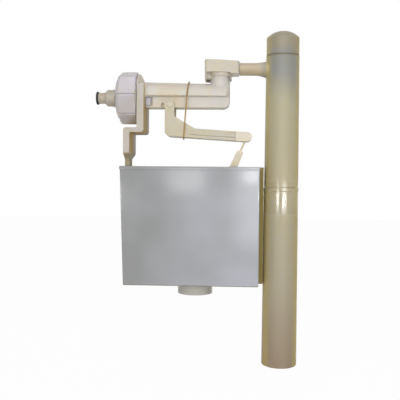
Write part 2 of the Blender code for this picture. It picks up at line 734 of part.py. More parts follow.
def valve_body():
    """Head, neck, water way with riser, and the plunger chamber beneath, as one moulding."""
    head = turned("valve_body", [(HEAD_X, HEAD_RADIUS), (HEAD_END_X, HEAD_RADIUS)])
    cone = turned(
        "body_cone",
        [
            (HEAD_END_X - 0.0006, HEAD_RADIUS - 0.001),
            (HEAD_END_X, HEAD_RADIUS - 0.001),
            (HEAD_END_X, CONE_RADIUS),
            (HEAD_END_X + CONE_LENGTH * 0.30, CONE_RADIUS - 0.0012),
            (HEAD_END_X + CONE_LENGTH * 0.55, CONE_RADIUS - 0.0048),
            (HEAD_END_X + CONE_LENGTH, CONE_END_RADIUS),
        ],
        cutter=True,
    )
    fork_space = box(
        "fork_space",
        (HEAD_END_X - GAP, -FAR / 4, -FAR / 4),
        (HANGER_END_X + GAP, FAR / 4, HANGER_FORK_TOP_Z + GAP),
        cutter=True,
    )
    carve(cone, fork_space)
    tube = rod(
        "body_tube",
        (HEAD_END_X - 0.004, 0, TUBE_START_Z), (BODY_END_X + 0.004, 0, TUBE_END_Z),
        TUBE_START_RADIUS, TUBE_END_RADIUS, cutter=True, steps=ROUND_STEPS,
    )
    side_start = HANGER_END_X + GAP
    for side in (-1, 1):
        inner_y, outer_y = sorted((side * CHAMBER_HALF_WIDTH, side * FAR / 4))
        ledge = box(
            f"ledge_{'front' if side < 0 else 'back'}",
            (side_start, inner_y, -FAR / 4), (BODY_END_X + 0.01, outer_y, LEDGE_Z), cutter=True,
        )
        carve(tube, ledge)
    chamber = box(
        "body_chamber",
        (side_start, -CHAMBER_HALF_WIDTH, CHAMBER_BOTTOM_Z),
        (BODY_END_X + 0.004, CHAMBER_HALF_WIDTH, TUBE_START_Z),
        cutter=True,
    )
    riser = rod(
        "body_riser", (RISER_X, 0, TUBE_END_Z), (RISER_X, 0, RISER_TOP_Z), RISER_RADIUS,
        cutter=True, steps=ROUND_STEPS,
    )
    front_outline = plate(
        "body_front_outline",
        round_corners([
            (0, FAR / 8, 0),
            (0, -FAR / 8, 0),
            (side_start, -FAR / 8, 0),
            (side_start, CHAMBER_BOTTOM_Z, 0),
            (BODY_END_X, CHAMBER_BOTTOM_Z, CHAMBER_CORNER),
            (BODY_END_X, FAR / 8, 0),
        ]),
        "Y", -FAR / 8, FAR / 8, cutter=True,
    )
    top_outline = plate(
        "body_top_outline",
        round_corners([
            (0, -FAR / 8, 0),
            (HANGER_END_X, -FAR / 8, 0),
            (HANGER_END_X, -TUBE_START_RADIUS - GAP, 0),
            (BODY_END_X, -TUBE_START_RADIUS - GAP, END_CORNER),
            (BODY_END_X, TUBE_START_RADIUS + GAP, END_CORNER),
            (HANGER_END_X, TUBE_START_RADIUS + GAP, 0),
            (HANGER_END_X, FAR / 8, 0),
            (0, FAR / 8, 0),
        ]),
        "Z", -FAR / 8, FAR / 8, cutter=True,
    )
    fuse(head, cone, tube, chamber, riser)
    keep_inside(head, front_outline, top_outline)

    channel = channel_cutter("water_channel", HEAD_X - 0.004, RISER_X + RISER_BORE_RADIUS * 0.6)
    riser_bore = rod(
        "riser_bore", (RISER_X, 0, CHANNEL_Z - CHANNEL_HEIGHT / 2), (RISER_X, 0, RISER_TOP_Z + 0.01),
        RISER_BORE_RADIUS, cutter=True, steps=ROUND_STEPS // 2,
    )
    plunger_bore = rod(
        "plunger_bore", (HEAD_X - 0.004, 0, 0), (NOSE_SLOT_X + NOSE_SLOT_LENGTH / 2, 0, 0),
        PLUNGER_RADIUS + GAP, cutter=True, steps=SMALL_STEPS,
    )
    window = box(
        "plunger_window",
        (WINDOW_X, -FAR / 8, CHAMBER_BOTTOM_Z + WINDOW_WALL),
        (WINDOW_X + WINDOW_LENGTH, FAR / 8, LEDGE_Z - WINDOW_BELOW_LEDGE),
        cutter=True,
    )
    steps = []
    for side in (-1, 1):
        inner_y, outer_y = sorted((side * (CHAMBER_HALF_WIDTH - WINDOW_STEP_DEPTH), side * FAR / 8))
        steps.append(box(
            f"window_step_{'front' if side < 0 else 'back'}",
            (WINDOW_X + GAP, inner_y, CHAMBER_BOTTOM_Z + WINDOW_WALL),
            (WINDOW_X + WINDOW_STEP_LENGTH, outer_y, LEDGE_Z - WINDOW_BELOW_LEDGE),
            cutter=True,
        ))
    notches = []
    for side in (-1, 1):
        inner_y, outer_y = sorted((side * (CHAMBER_HALF_WIDTH - NOTCH_DEPTH), side * FAR / 8))
        notches.append(box(
            f"body_notch_{'front' if side < 0 else 'back'}",
            (NOSE_SLOT_X - NOTCH_WIDTH / 3, inner_y, CHAMBER_BOTTOM_Z - 0.01),
            (NOSE_SLOT_X + NOTCH_WIDTH * 2 / 3, outer_y, NOTCH_TOP_Z),
            cutter=True,
        ))
    nose_slot = box(
        "nose_slot",
        (NOSE_SLOT_X, -NOSE_SLOT_HALF, CHAMBER_BOTTOM_Z - 0.01),
        (NOSE_SLOT_X + NOSE_SLOT_LENGTH, NOSE_SLOT_HALF, PLUNGER_RADIUS + GAP),
        cutter=True,
    )
    pin_hole = rod(
        "body_pin_hole", (PIVOT_X, -FAR / 8, PIVOT_Z), (PIVOT_X, FAR / 8, PIVOT_Z),
        PIVOT_PIN_RADIUS + PIN_PLAY, cutter=True,
    )
    groove_z = HOOD_ROOF_Z - RISER_SEAL_BELOW_ROOF
    groove_floor = RISER_RADIUS - 2 * RISER_SEAL_SECTION
    seal_groove = turned(
        "riser_seal_groove",
        [(groove_z - RISER_SEAL_SECTION * 1.3, RISER_RADIUS + 0.002),
         (groove_z + RISER_SEAL_SECTION * 1.3, RISER_RADIUS + 0.002)],
        [(groove_z - RISER_SEAL_SECTION * 1.3, groove_floor),
         (groove_z + RISER_SEAL_SECTION * 1.3, groove_floor)],
        axis="Z", centre=(RISER_X, 0, 0), cutter=True,
    )
    carve(head, channel, riser_bore, plunger_bore, window, *steps, nose_slot, pin_hole, *notches, seal_groove)
    return finish(head, CREAM, 0.35)


def riser_seal():
    """The O-ring that seals the hood on the riser."""
    bm = bmesh.new()
    groove_floor = RISER_RADIUS - 2 * RISER_SEAL_SECTION
    centre_radius = groove_floor + RISER_SEAL_SECTION + GAP / 2
    outline = []
    sides = 10
    for step in range(sides):
        angle = 2 * math.pi * step / sides
        outline.append(bm.verts.new((
            centre_radius + RISER_SEAL_SECTION * math.cos(angle), 0,
            -RISER_SEAL_SECTION * math.sin(angle),
        )))
    for first, second in zip(outline, outline[1:] + outline[:1]):
        bm.edges.new((first, second))
    ring = add_bmesh("riser_seal", bm)
    ring.location = (RISER_X, 0, HOOD_ROOF_Z - RISER_SEAL_BELOW_ROOF)
    spin = ring.modifiers.new("spin", "SCREW")
    spin.steps = ROUND_STEPS // 2
    spin.render_steps = ROUND_STEPS // 2
    spin.use_merge_vertices = True
    spin.merge_threshold = 0.00001
    return finish(ring, BLACK_RUBBER, 0.6)


def plunger():
    """The pin that the lever's nose pushes against the diaphragm, with its guide foot."""
    start = HEAD_X
    tip = NOSE_X - GAP
    shoulder = tip - PLUNGER_TIP_LENGTH
    pin = turned(
        "plunger",
        [
            (start, PLUNGER_RADIUS),
            (shoulder, PLUNGER_RADIUS),
            (shoulder, PLUNGER_TIP_RADIUS),
            (tip, PLUNGER_TIP_RADIUS),
        ],
        steps=SMALL_STEPS,
    )
    foot_x = WINDOW_X + GAP
    low_z = CHAMBER_BOTTOM_Z + WINDOW_WALL + GAP
    high_z = LEDGE_Z - WINDOW_BELOW_LEDGE - GAP
    room = PLUNGER_TRAVEL + GAP
    fuse(pin, box(
        "plunger_foot",
        (foot_x + GAP * 2, -PLUNGER_FOOT_HALF, low_z + GAP * 2),
        (WINDOW_X + WINDOW_LENGTH - room, PLUNGER_FOOT_HALF, high_z - GAP * 2),
        cutter=True,
    ))
    for side in (-1, 1):
        inner_y, outer_y = sorted((side * (PLUNGER_EAR_HALF - PLUNGER_EAR_THICK), side * PLUNGER_EAR_HALF))
        fuse(pin, box(
            f"plunger_ear_{'front' if side < 0 else 'back'}",
            (foot_x, inner_y, low_z), (WINDOW_X + WINDOW_STEP_LENGTH - room, outer_y, high_z),
            cutter=True, edge=PLUNGER_EDGE,
        ))
    return finish(pin, LAVENDER, 0.35)


def lever_pivot_pin():
    half = CHEEK_OUTER + PIN_PLAY
    pin = turned(
        "lever_pivot_pin",
        [
            (-half - PIVOT_HEAD_THICK, PIVOT_HEAD_RADIUS - 0.0004),
            (-half - PIVOT_HEAD_THICK + 0.0004, PIVOT_HEAD_RADIUS),
            (-half, PIVOT_HEAD_RADIUS),
            (-half, PIVOT_PIN_RADIUS),
            (half, PIVOT_PIN_RADIUS),
            (half, PIVOT_HEAD_RADIUS),
            (half + PIVOT_HEAD_THICK - 0.0004, PIVOT_HEAD_RADIUS),
            (half + PIVOT_HEAD_THICK, PIVOT_HEAD_RADIUS - 0.0004),
        ],
        axis="Y", centre=PIVOT, steps=SMALL_STEPS,
    )
    return finish(pin, CREAM, 0.35)


def lever_outline():
    """The side view of the lever: a leg that hangs from the pivot, and a long arm."""
    left = PIVOT_X - LEG_LEFT
    right = PIVOT_X + LEG_RIGHT
    left_angle = math.degrees(math.acos(-LEG_LEFT / CHEEK_TOP_RADIUS))
    right_angle = math.degrees(math.acos(LEG_RIGHT / CHEEK_TOP_RADIUS))
    slope = math.tan(ARM_SLOPE)
    half = ARM_THICK / 2 / math.cos(ARM_SLOPE)
    middle_at = lambda x: LINK_TOP.z + (LINK_TOP.x - x) * slope
    gusset_top_z = PIVOT_Z - GUSSET_TOP
    gusset_end_x = right + GUSSET_RUN
    heel_z = middle_at(left) - half
    gusset_end_z = middle_at(gusset_end_x) + half
    lower = round_corners([
        (right, gusset_top_z, GUSSET_TOP_RADIUS),
        (right, PIVOT_Z, 0),
        (left, PIVOT_Z, 0),
        (left, heel_z, HEEL_RADIUS),
        (LINK_TOP.x, middle_at(LINK_TOP.x) - half, 0),
        (LINK_TOP.x, middle_at(LINK_TOP.x) + half, 0),
        (gusset_end_x, gusset_end_z, GUSSET_END_RADIUS),
    ])
    top = arc(PIVOT_X, PIVOT_Z, CHEEK_TOP_RADIUS, right_angle, left_angle)
    at_pivot = lower.index((right, PIVOT_Z))
    tip_low = lower.index((LINK_TOP.x, middle_at(LINK_TOP.x) - half))
    tilt = -math.degrees(ARM_SLOPE)
    tip = arc(LINK_TOP.x + GAP, LINK_TOP.z, ARM_THICK / 2, tilt - 85, tilt + 85)
    return lower[:at_pivot] + top + lower[at_pivot + 2:tip_low] + tip + lower[tip_low + 2:]


def lever():
    """The L-shaped lever: a fork over the body, a nose in its slot, an arm to the link."""
    arm = plate("lever", lever_outline(), "Y", -CHEEK_OUTER, CHEEK_OUTER)
    taper_start = PIVOT_X + LEG_RIGHT + 0.002
    taper_end = taper_start + GUSSET_RUN
    knuckle_x = LINK_TOP.x + ARM_END_RADIUS - KNUCKLE_LENGTH
    end_x = LINK_TOP.x + 0.02
    half_plan = [
        (PIVOT_X - 0.02, CHEEK_OUTER - 0.00001),
        (taper_start, CHEEK_OUTER - 0.00001),
        (taper_end, ARM_HALF_WIDTH),
        (knuckle_x, ARM_HALF_WIDTH),
        (knuckle_x + KNUCKLE_STEP, KNUCKLE_HALF_WIDTH),
        (end_x, KNUCKLE_HALF_WIDTH),
    ]
    plan_outline = [(x, -y) for x, y in half_plan] + [(x, y) for x, y in reversed(half_plan)]
    keep_inside(arm, plate("lever_plan", plan_outline, "Z", -FAR / 4, FAR / 4, cutter=True))

    fork_low = PIVOT_Z - FORK_DEPTH
    fork_space = box(
        "lever_fork_space",
        (PIVOT_X - 0.03, -CHEEK_INNER, fork_low),
        (PIVOT_X + 0.03, CHEEK_INNER, PIVOT_Z + 0.02),
        cutter=True,
    )
    nose = plate(
        "lever_nose",
        round_corners([
            (NOSE_X, fork_low - 0.004, 0),
            (NOSE_X + NOSE_LENGTH, fork_low - 0.004, 0),
            (NOSE_X + NOSE_LENGTH, PIVOT_Z + NOSE_REACH, NOSE_BACK_RADIUS),
            (NOSE_X, PIVOT_Z + NOSE_REACH, NOSE_FRONT_RADIUS),
        ]),
        "Y", -NOSE_HALF_WIDTH, NOSE_HALF_WIDTH, cutter=True,
    )
    carve(arm, fork_space)
    fuse(arm, nose)

    def under_arm(left, right, height):
        """The corners of a strip along the arm's lower edge."""
        slope = math.tan(ARM_SLOPE)
        low = -ARM_THICK / 2 - 0.002
        return round_corners([
            (x, LINK_TOP.z + (LINK_TOP.x - x) * slope + offset, 0)
            for x, offset in (
                (left, low), (right, low),
                (right, height - ARM_THICK / 2), (left, height - ARM_THICK / 2),
            )
        ])

    hollow_half = ARM_HALF_WIDTH - ARM_HOLLOW_WALL
    carve(arm, plate(
        "arm_hollow", under_arm(taper_end, knuckle_x - 0.002, ARM_HOLLOW_HEIGHT),
        "Y", -hollow_half, hollow_half, cutter=True,
    ))
    for side in (-1, 1):
        inner_y, outer_y = sorted((side * (ARM_HALF_WIDTH - ARM_BAND_DEPTH), side * 0.02))
        carve(arm, plate(
            f"arm_band_{'front' if side < 0 else 'back'}",
            under_arm(taper_end - 0.001, knuckle_x, ARM_BAND_HEIGHT),
            "Y", inner_y, outer_y, cutter=True,
        ))
    pivot_hole = rod(
        "lever_pivot_hole", PIVOT - Vector((0, 0.05, 0)), PIVOT + Vector((0, 0.05, 0)),
        PIVOT_PIN_RADIUS + PIN_PLAY, cutter=True,
    )
    eye_half = LINK_ROD_RADIUS + LINK_SIDE_PLAY
    eye_slot = box(
        "lever_eye_slot",
        (LINK_TOP.x - LINK_EYE_RADIUS - 0.0026, -eye_half, LINK_TOP.z - 0.03),
        (LINK_TOP.x + 0.03, eye_half, LINK_TOP.z + 0.03),
        cutter=True,
    )
    end_hole = rod(
        "lever_end_hole", LINK_TOP - Vector((0, 0.05, 0)), LINK_TOP + Vector((0, 0.05, 0)),
        LINK_PIN_RADIUS + PIN_PLAY, cutter=True, steps=12,
    )
    carve(arm, pivot_hole, eye_slot, end_hole)
    return finish(arm, CREAM, 0.35)


def lever_end_pin():
    pin = rod(
        "lever_end_pin",
        LINK_TOP - Vector((0, KNUCKLE_HALF_WIDTH, 0)), LINK_TOP + Vector((0, KNUCKLE_HALF_WIDTH, 0)),
        LINK_PIN_RADIUS, steps=12,
    )
    return finish(pin, STEEL, 0.3, 1.0)


def along_link(distance, across=0.0):
    """A point beside the link's line: distance from its top eye, across to the right."""
    right = Vector((math.cos(LINK_LEAN), 0, -math.sin(LINK_LEAN)))
    return LINK_TOP + distance * LINK_DOWN + across * right


def link_outline(corners):
    outline = []
    for distance, across, radius in corners:
        place = along_link(distance, across)
        outline.append((place.x, place.z, radius))
    return round_corners(outline)


def link_rod():
    """The wire with an eye on the lever's pin, screwed into the adjusting clip."""
    shank = rod(
        "link_rod", along_link(LINK_EYE_RADIUS * 0.8), along_link(LINK_ROD_LENGTH),
        LINK_ROD_RADIUS, steps=12,
    )
    eye = turned(
        "link_eye",
        [(-LINK_ROD_RADIUS, LINK_EYE_RADIUS), (LINK_ROD_RADIUS, LINK_EYE_RADIUS)],
        [(-LINK_ROD_RADIUS, LINK_PIN_RADIUS + PIN_PLAY), (LINK_ROD_RADIUS, LINK_PIN_RADIUS + PIN_PLAY)],
        axis="Y", centre=LINK_TOP, cutter=True, steps=SMALL_STEPS,
    )
    fuse(shank, eye)
    return finish(shank, CREAM, 0.35)


def link_clip():
    """The adjusting clip: it grips the rod and straddles the float's lug."""
    half = CLIP_TOP_WIDTH / 2
    low_half = CLIP_LOW_WIDTH / 2
    end = LINK_LENGTH + half * 0.9
    body = plate(
        "link_clip",
        link_outline([
            (CLIP_START, -half, half * 0.8),
            (CLIP_START, half, half * 0.5),
            (end, low_half, half * 0.8),
            (end, -low_half, half * 0.8),
        ]),
        "Y", -CLIP_DEPTH / 2, CLIP_DEPTH / 2,
    )
    bore = rod(
        "clip_bore", along_link(CLIP_START - 0.01), along_link(LINK_ROD_LENGTH + GAP),
        LINK_ROD_RADIUS + GAP, cutter=True, steps=12,
    )
    lug_half = FLOAT_LUG_HALF_WIDTH + LINK_SIDE_PLAY
    fork = plate(
        "clip_fork",
        link_outline([
            (LINK_LENGTH - CLIP_FORK_LENGTH, -0.01, 0),
            (LINK_LENGTH - CLIP_FORK_LENGTH, 0.01, 0),
            (LINK_LENGTH + 0.02, 0.01, 0),
            (LINK_LENGTH + 0.02, -0.01, 0),
        ]),
        "Y", -lug_half, lug_half, cutter=True,
    )
    hole = rod(
        "clip_hole", LINK_BOTTOM - Vector((0, 0.02, 0)), LINK_BOTTOM + Vector((0, 0.02, 0)),
        LINK_PIN_RADIUS + LINK_PLAY, cutter=True, steps=16,
    )
    carve(body, bore, fork, hole)
    return finish(body, CREAM, 0.35)


def rubber_band():
    """A loop over the body's tube and under the lever's arm, which holds the arm up."""
    share = (BAND_TOP_X - HEAD_END_X) / (BODY_END_X - HEAD_END_X)
    tube_z = TUBE_START_Z + (TUBE_END_Z - TUBE_START_Z) * share
    tube_radius = TUBE_START_RADIUS + (TUBE_END_RADIUS - TUBE_START_RADIUS) * share
    around = tube_radius + BAND_RADIUS + GAP * 2
    arm_low = LINK_TOP.z + (LINK_TOP.x - BAND_BOTTOM_X) * math.tan(ARM_SLOPE)
    arm_low -= ARM_THICK / 2 / math.cos(ARM_SLOPE) + BAND_RADIUS + GAP
    taper_start = PIVOT_X + LEG_RIGHT + 0.002
    share_down = (BAND_BOTTOM_X - taper_start) / GUSSET_RUN
    arm_half = CHEEK_OUTER + (ARM_HALF_WIDTH - CHEEK_OUTER) * share_down
    side = arm_half + BAND_RADIUS + GAP * 2
    turn = BAND_RADIUS * 2
    loop = [(around * math.cos(a), tube_z + around * math.sin(a))
            for a in (math.radians(180 * step / 16) for step in range(17))]
    loop += arc(-side + turn, arm_low + turn, turn, 180, 270, 4)
    loop += arc(side - turn, arm_low + turn, turn, 270, 360, 4)
    top, bottom = tube_z + around, arm_low
    points = []
    for y, z in loop:
        down = (top - z) / (top - bottom)
        x = BAND_TOP_X + (BAND_BOTTOM_X - BAND_TOP_X) * min(1.0, down * 1.3)
        x -= BAND_BACK_SHIFT * max(0.0, y) / around
        points.append((x, y, z))
    band = tube_along("rubber_band", points, BAND_RADIUS, closed=True)
    return finish(band, BAND_BROWN, 0.5)


def float_hanger():
    """The bent strap that hangs from the body's neck and carries the float's hinge."""
    step_low = HANGER_STEP_Z - HANGER_STEP_THICK
    tongue_top = HANGER_LOWER_Z
    side_outline = round_corners([
        (HANGER_X, HANGER_FORK_TOP_Z, 0),
        (HANGER_X, HANGER_STEP_Z, HANGER_INNER_CORNER),
        (HANGER_LOWER_X, HANGER_STEP_Z, HANGER_CORNER),
        (HANGER_LOWER_X, FLOAT_HINGE.z, 0),
        (HANGER_LOWER_X, FLOAT_HINGE.z - TONGUE_THICK / 2, TONGUE_THICK / 2 - GAP),
        (HANGER_LOWER_X + TONGUE_THICK, FLOAT_HINGE.z - TONGUE_THICK / 2, TONGUE_THICK / 2 - GAP),
        (HANGER_LOWER_X + TONGUE_THICK, tongue_top - HANGER_SHOULDER, 0),
        (HANGER_LOWER_X + HANGER_LOWER_THICK, tongue_top, 0),
        (HANGER_LOWER_X + HANGER_LOWER_THICK, step_low, HANGER_INNER_CORNER),
        (HANGER_END_X, step_low, HANGER_CORNER),
        (HANGER_END_X, HANGER_FORK_TOP_Z, 0),
    ])
    strap = plate("float_hanger", side_outline, "Y", -HANGER_HALF_WIDTH, HANGER_HALF_WIDTH)
    shoulder_z = HANGER_LOWER_Z
    front = [
        (-HANGER_HALF_WIDTH + 0.00001, HANGER_FORK_TOP_Z + 0.01, 0),
        (-HANGER_HALF_WIDTH + 0.00001, shoulder_z, SHOULDER_OUTER_RADIUS),
        (-TONGUE_HALF_WIDTH, shoulder_z - HANGER_SHOULDER, SHOULDER_INNER_RADIUS),
        (-TONGUE_HALF_WIDTH, FLOAT_HINGE.z - 0.01, 0),
        (TONGUE_HALF_WIDTH, FLOAT_HINGE.z - 0.01, 0),
        (TONGUE_HALF_WIDTH, shoulder_z - HANGER_SHOULDER, SHOULDER_INNER_RADIUS),
        (HANGER_HALF_WIDTH - 0.00001, shoulder_z, SHOULDER_OUTER_RADIUS),
        (HANGER_HALF_WIDTH - 0.00001, HANGER_FORK_TOP_Z + 0.01, 0),
    ]
    keep_inside(strap, plate("hanger_front", round_corners(front), "X", -0.05, 0.1, cutter=True))
    notch_radius = TUBE_START_RADIUS + GAP * 2
    notch = arc(0, TUBE_START_Z, notch_radius, 180, 360, 20)
    notch += [(notch_radius, HANGER_FORK_TOP_Z + 0.02), (-notch_radius, HANGER_FORK_TOP_Z + 0.02)]
    carve(strap, plate("fork_notch", notch, "X", HANGER_X - 0.002, HANGER_END_X + 0.002, cutter=True))
    pin_hole = rod(
        "hanger_pin_hole", FLOAT_HINGE - Vector((0, 0.05, 0)), FLOAT_HINGE + Vector((0, 0.05, 0)),
        FLOAT_PIN_RADIUS + PIN_PLAY, cutter=True, steps=16,
    )
    carve(strap, pin_hole)
    return finish(strap, CREAM, 0.35)


def float_ear_y():
    inner = TONGUE_HALF_WIDTH + GAP
    return inner, inner + FLOAT_EAR_THICK


def float_hinge_pin():
    half = float_ear_y()[1] + PIN_PLAY
    pin = rod(
        "float_hinge_pin", FLOAT_HINGE - Vector((0, half, 0)), FLOAT_HINGE + Vector((0, half, 0)),
        FLOAT_PIN_RADIUS, steps=16,
    )
    return finish(pin, STEEL, 0.3, 1.0)


def float_plate():
    """The float's top plate, with the hinge ears at one end and the link's lug at the other."""
    low = FLOAT_TOP_Z - FLOAT_PLATE_THICK
    deck = box(
        "float_plate",
        (FLOAT_LEFT_X, -FLOAT_HALF_WIDTH, low), (FLOAT_RIGHT_X, FLOAT_HALF_WIDTH, FLOAT_TOP_Z),
        edge=0.0004,
    )
    ear_inner, ear_outer = float_ear_y()
    root = FLOAT_LEFT_X + 0.010
    tops = []
    for side in (-1, 1):
        near, away = sorted((side * ear_inner, side * ear_outer))
        ear = plate(
            f"float_ear_{'front' if side < 0 else 'back'}",
            arc(FLOAT_HINGE.x, FLOAT_HINGE.z, FLOAT_EAR_RADIUS, 75, 235)
            + [(FLOAT_LEFT_X + 0.001, low + 0.0002), (root, low + 0.0002), (root, FLOAT_TOP_Z + 0.0005)],
            "Y", near, away, cutter=True,
        )
        tops.append(ear)
    rib_ends = (root - 0.002, LINK_BOTTOM.x - FLOAT_LUG_RADIUS)
    for side in (-1, 1):
        middle = side * (ear_inner + ear_outer) / 2
        tops.append(box(
            f"float_rib_{'front' if side < 0 else 'back'}",
            (rib_ends[0], middle - 0.0008, low + 0.0004),
            (rib_ends[1], middle + 0.0008, FLOAT_TOP_Z + FLOAT_RIB_HEIGHT), cutter=True,
        ))
    lug = plate(
        "float_lug",
        arc(LINK_BOTTOM.x, LINK_BOTTOM.z, FLOAT_LUG_RADIUS, 0, 180)
        + [(LINK_BOTTOM.x - FLOAT_LUG_RADIUS - 0.002, low + 0.0004),
           (LINK_BOTTOM.x + FLOAT_LUG_RADIUS + 0.002, low + 0.0004)],
        "Y", -FLOAT_LUG_HALF_WIDTH, FLOAT_LUG_HALF_WIDTH, cutter=True,
    )
    fuse(deck, *tops, lug)
    hinge_hole = rod(
        "float_hinge_hole", FLOAT_HINGE - Vector((0, 0.05, 0)), FLOAT_HINGE + Vector((0, 0.05, 0)),
        FLOAT_PIN_RADIUS + PIN_PLAY, cutter=True, steps=16,
    )
    lug_hole = rod(
        "float_lug_hole", LINK_BOTTOM - Vector((0, 0.05, 0)), LINK_BOTTOM + Vector((0, 0.05, 0)),
        LINK_PIN_RADIUS + PIN_PLAY, cutter=True, steps=12,
    )
    carve(deck, hinge_hole, lug_hole)
    return finish(deck, LAVENDER, 0.35)


def float_link_pin():
    half = CLIP_DEPTH / 2 + 0.0008
    pin = rod(
        "float_link_pin", LINK_BOTTOM - Vector((0, half, 0)), LINK_BOTTOM + Vector((0, half, 0)),
        LINK_PIN_RADIUS, steps=12,
    )
    return finish(pin, STEEL, 0.3, 1.0)


def bell_outline(inset, top, bottom):
    """The bell's front view, narrower at its foot, drawn in by inset."""
    lean = FLOAT_BELL_TAPER / FLOAT_BELL_HEIGHT
    shoulder = FLOAT_TOP_Z - FLOAT_PLATE_THICK
    left_at = lambda z: FLOAT_LEFT_X + 0.001 + (shoulder - z) * lean + inset
    right_at = lambda z: FLOAT_RIGHT_X - 0.001 - (shoulder - z) * lean - inset
    return round_corners([
        (left_at(top), top, 0.0010),
        (left_at(bottom), bottom, 0),
        (right_at(bottom), bottom, 0),
        (right_at(top), top, 0.0010),
    ])


def float_bell():
    """The open-bottomed bell under the plate, which floats on the air it holds."""
    top = FLOAT_TOP_Z - FLOAT_PLATE_THICK - GAP
    low = top - FLOAT_BELL_HEIGHT
    half = FLOAT_HALF_WIDTH - 0.0005
    bell = plate("float_bell", bell_outline(0, top, low), "Y", -half, half)
    air = plate(
        "bell_air", bell_outline(FLOAT_BELL_WALL, top - FLOAT_BELL_WALL, low - 0.01),
        "Y", -half + FLOAT_BELL_WALL, half - FLOAT_BELL_WALL, cutter=True,
    )
    carve(bell, air)
    return finish(bell, FOAM, 0.5)


def cup_outline(inset, top, bottom, radius):
    """The cup's front view, drawn in by inset, with its drafted left wall."""
    draft = CUP_LEFT_DRAFT / CUP_HEIGHT
    left_at = lambda z: CUP_LEFT_X + (CUP_TOP_Z - z) * draft + inset
    return round_corners([
        (left_at(top), top, 0),
        (left_at(bottom), bottom, radius),
        (CUP_RIGHT_X - inset, bottom, radius),
        (CUP_RIGHT_X - inset, top, 0),
    ])


def float_cup():
    """The open cup with its rim, its drain neck, and the channel that slides on the pipe's rail."""
    cup = plate(
        "float_cup", cup_outline(0, CUP_TOP_Z, CUP_BOTTOM_Z, CUP_EDGE),
        "Y", -CUP_HALF_DEPTH, CUP_HALF_DEPTH,
    )
    inner_half = CUP_HALF_DEPTH - CUP_WALL
    inside = plate(
        "cup_inside", cup_outline(CUP_WALL, CUP_TOP_Z + 0.01, CUP_BOTTOM_Z + CUP_FLOOR, CUP_EDGE),
        "Y", -inner_half, inner_half, cutter=True,
    )
    rim = box(
        "cup_rim",
        (CUP_LEFT_X - CUP_RIM_PROUD, -CUP_HALF_DEPTH - CUP_RIM_PROUD, CUP_TOP_Z - CUP_RIM_HEIGHT),
        (CUP_RIGHT_X + CUP_RIM_PROUD, CUP_HALF_DEPTH + CUP_RIM_PROUD, CUP_TOP_Z - 0.00001),
        cutter=True, edge=0.0005,
    )
    neck = rod(
        "cup_neck", (DRAIN_X, 0, NECK_BOTTOM_Z), (DRAIN_X, 0, CUP_BOTTOM_Z + CUP_FLOOR / 2),
        NECK_RADIUS, cutter=True, steps=ROUND_STEPS,
    )
    channel_half = RAIL_HEAD_HALF + GAP + RAIL_SIDE_WALL
    channel_reach = CUP_RIGHT_X + RAIL_DEPTH - GAP
    channel = box(
        "cup_channel",
        (CUP_RIGHT_X - CUP_WALL / 2, -channel_half, CUP_BOTTOM_Z + 0.00001),
        (channel_reach, channel_half, CUP_TOP_Z - 0.00002),
        cutter=True,
    )
    fuse(cup, rim, neck, channel)
    pipe_clear = rod(
        "pipe_clearance", (PIPE_X, 0, CUP_BOTTOM_Z - 0.01), (PIPE_X, 0, CUP_TOP_Z + 0.01),
        PIPE_BOTTOM_RADIUS + PIPE_COLLAR_PROUD + GAP, cutter=True, steps=ROUND_STEPS * 2,
    )
    head_low = CUP_RIGHT_X + GAP
    head_high = head_low + RAIL_HEAD_THICK + 2 * GAP
    head_slot = box(
        "rail_head_slot",
        (head_low - GAP, -RAIL_HEAD_HALF - GAP, CUP_BOTTOM_Z - 0.01),
        (head_high, RAIL_HEAD_HALF + GAP, CUP_TOP_Z + 0.01),
        cutter=True,
    )
    web_slot = box(
        "rail_web_slot",
        (head_low, -RAIL_WEB_HALF - GAP, CUP_BOTTOM_Z - 0.011),
        (channel_reach + 0.01, RAIL_WEB_HALF + GAP, CUP_TOP_Z + 0.011),
        cutter=True,
    )
    carve(cup, inside, pipe_clear, head_slot, web_slot)
    neck_inner = NECK_RADIUS - NECK_WALL
    lip_z = CUP_BOTTOM_Z - SEAT_LIP_HEIGHT
    lip_outer = DRAIN_HOLE_RADIUS + SEAT_LIP_WIDTH
    neck_space = turned(
        "neck_space",
        [
            (NECK_BOTTOM_Z - 0.01, neck_inner),
            (CUP_BOTTOM_Z, neck_inner),
            (CUP_BOTTOM_Z, lip_outer),
            (lip_z, lip_outer),
            (lip_z, DRAIN_HOLE_RADIUS),
            (CUP_BOTTOM_Z + CUP_FLOOR + 0.01, DRAIN_HOLE_RADIUS),
        ],
        axis="Z", centre=(DRAIN_X, 0, 0), cutter=True,
    )
    carve(cup, neck_space)
    return finish(cup, COOL_GREY, 0.2)


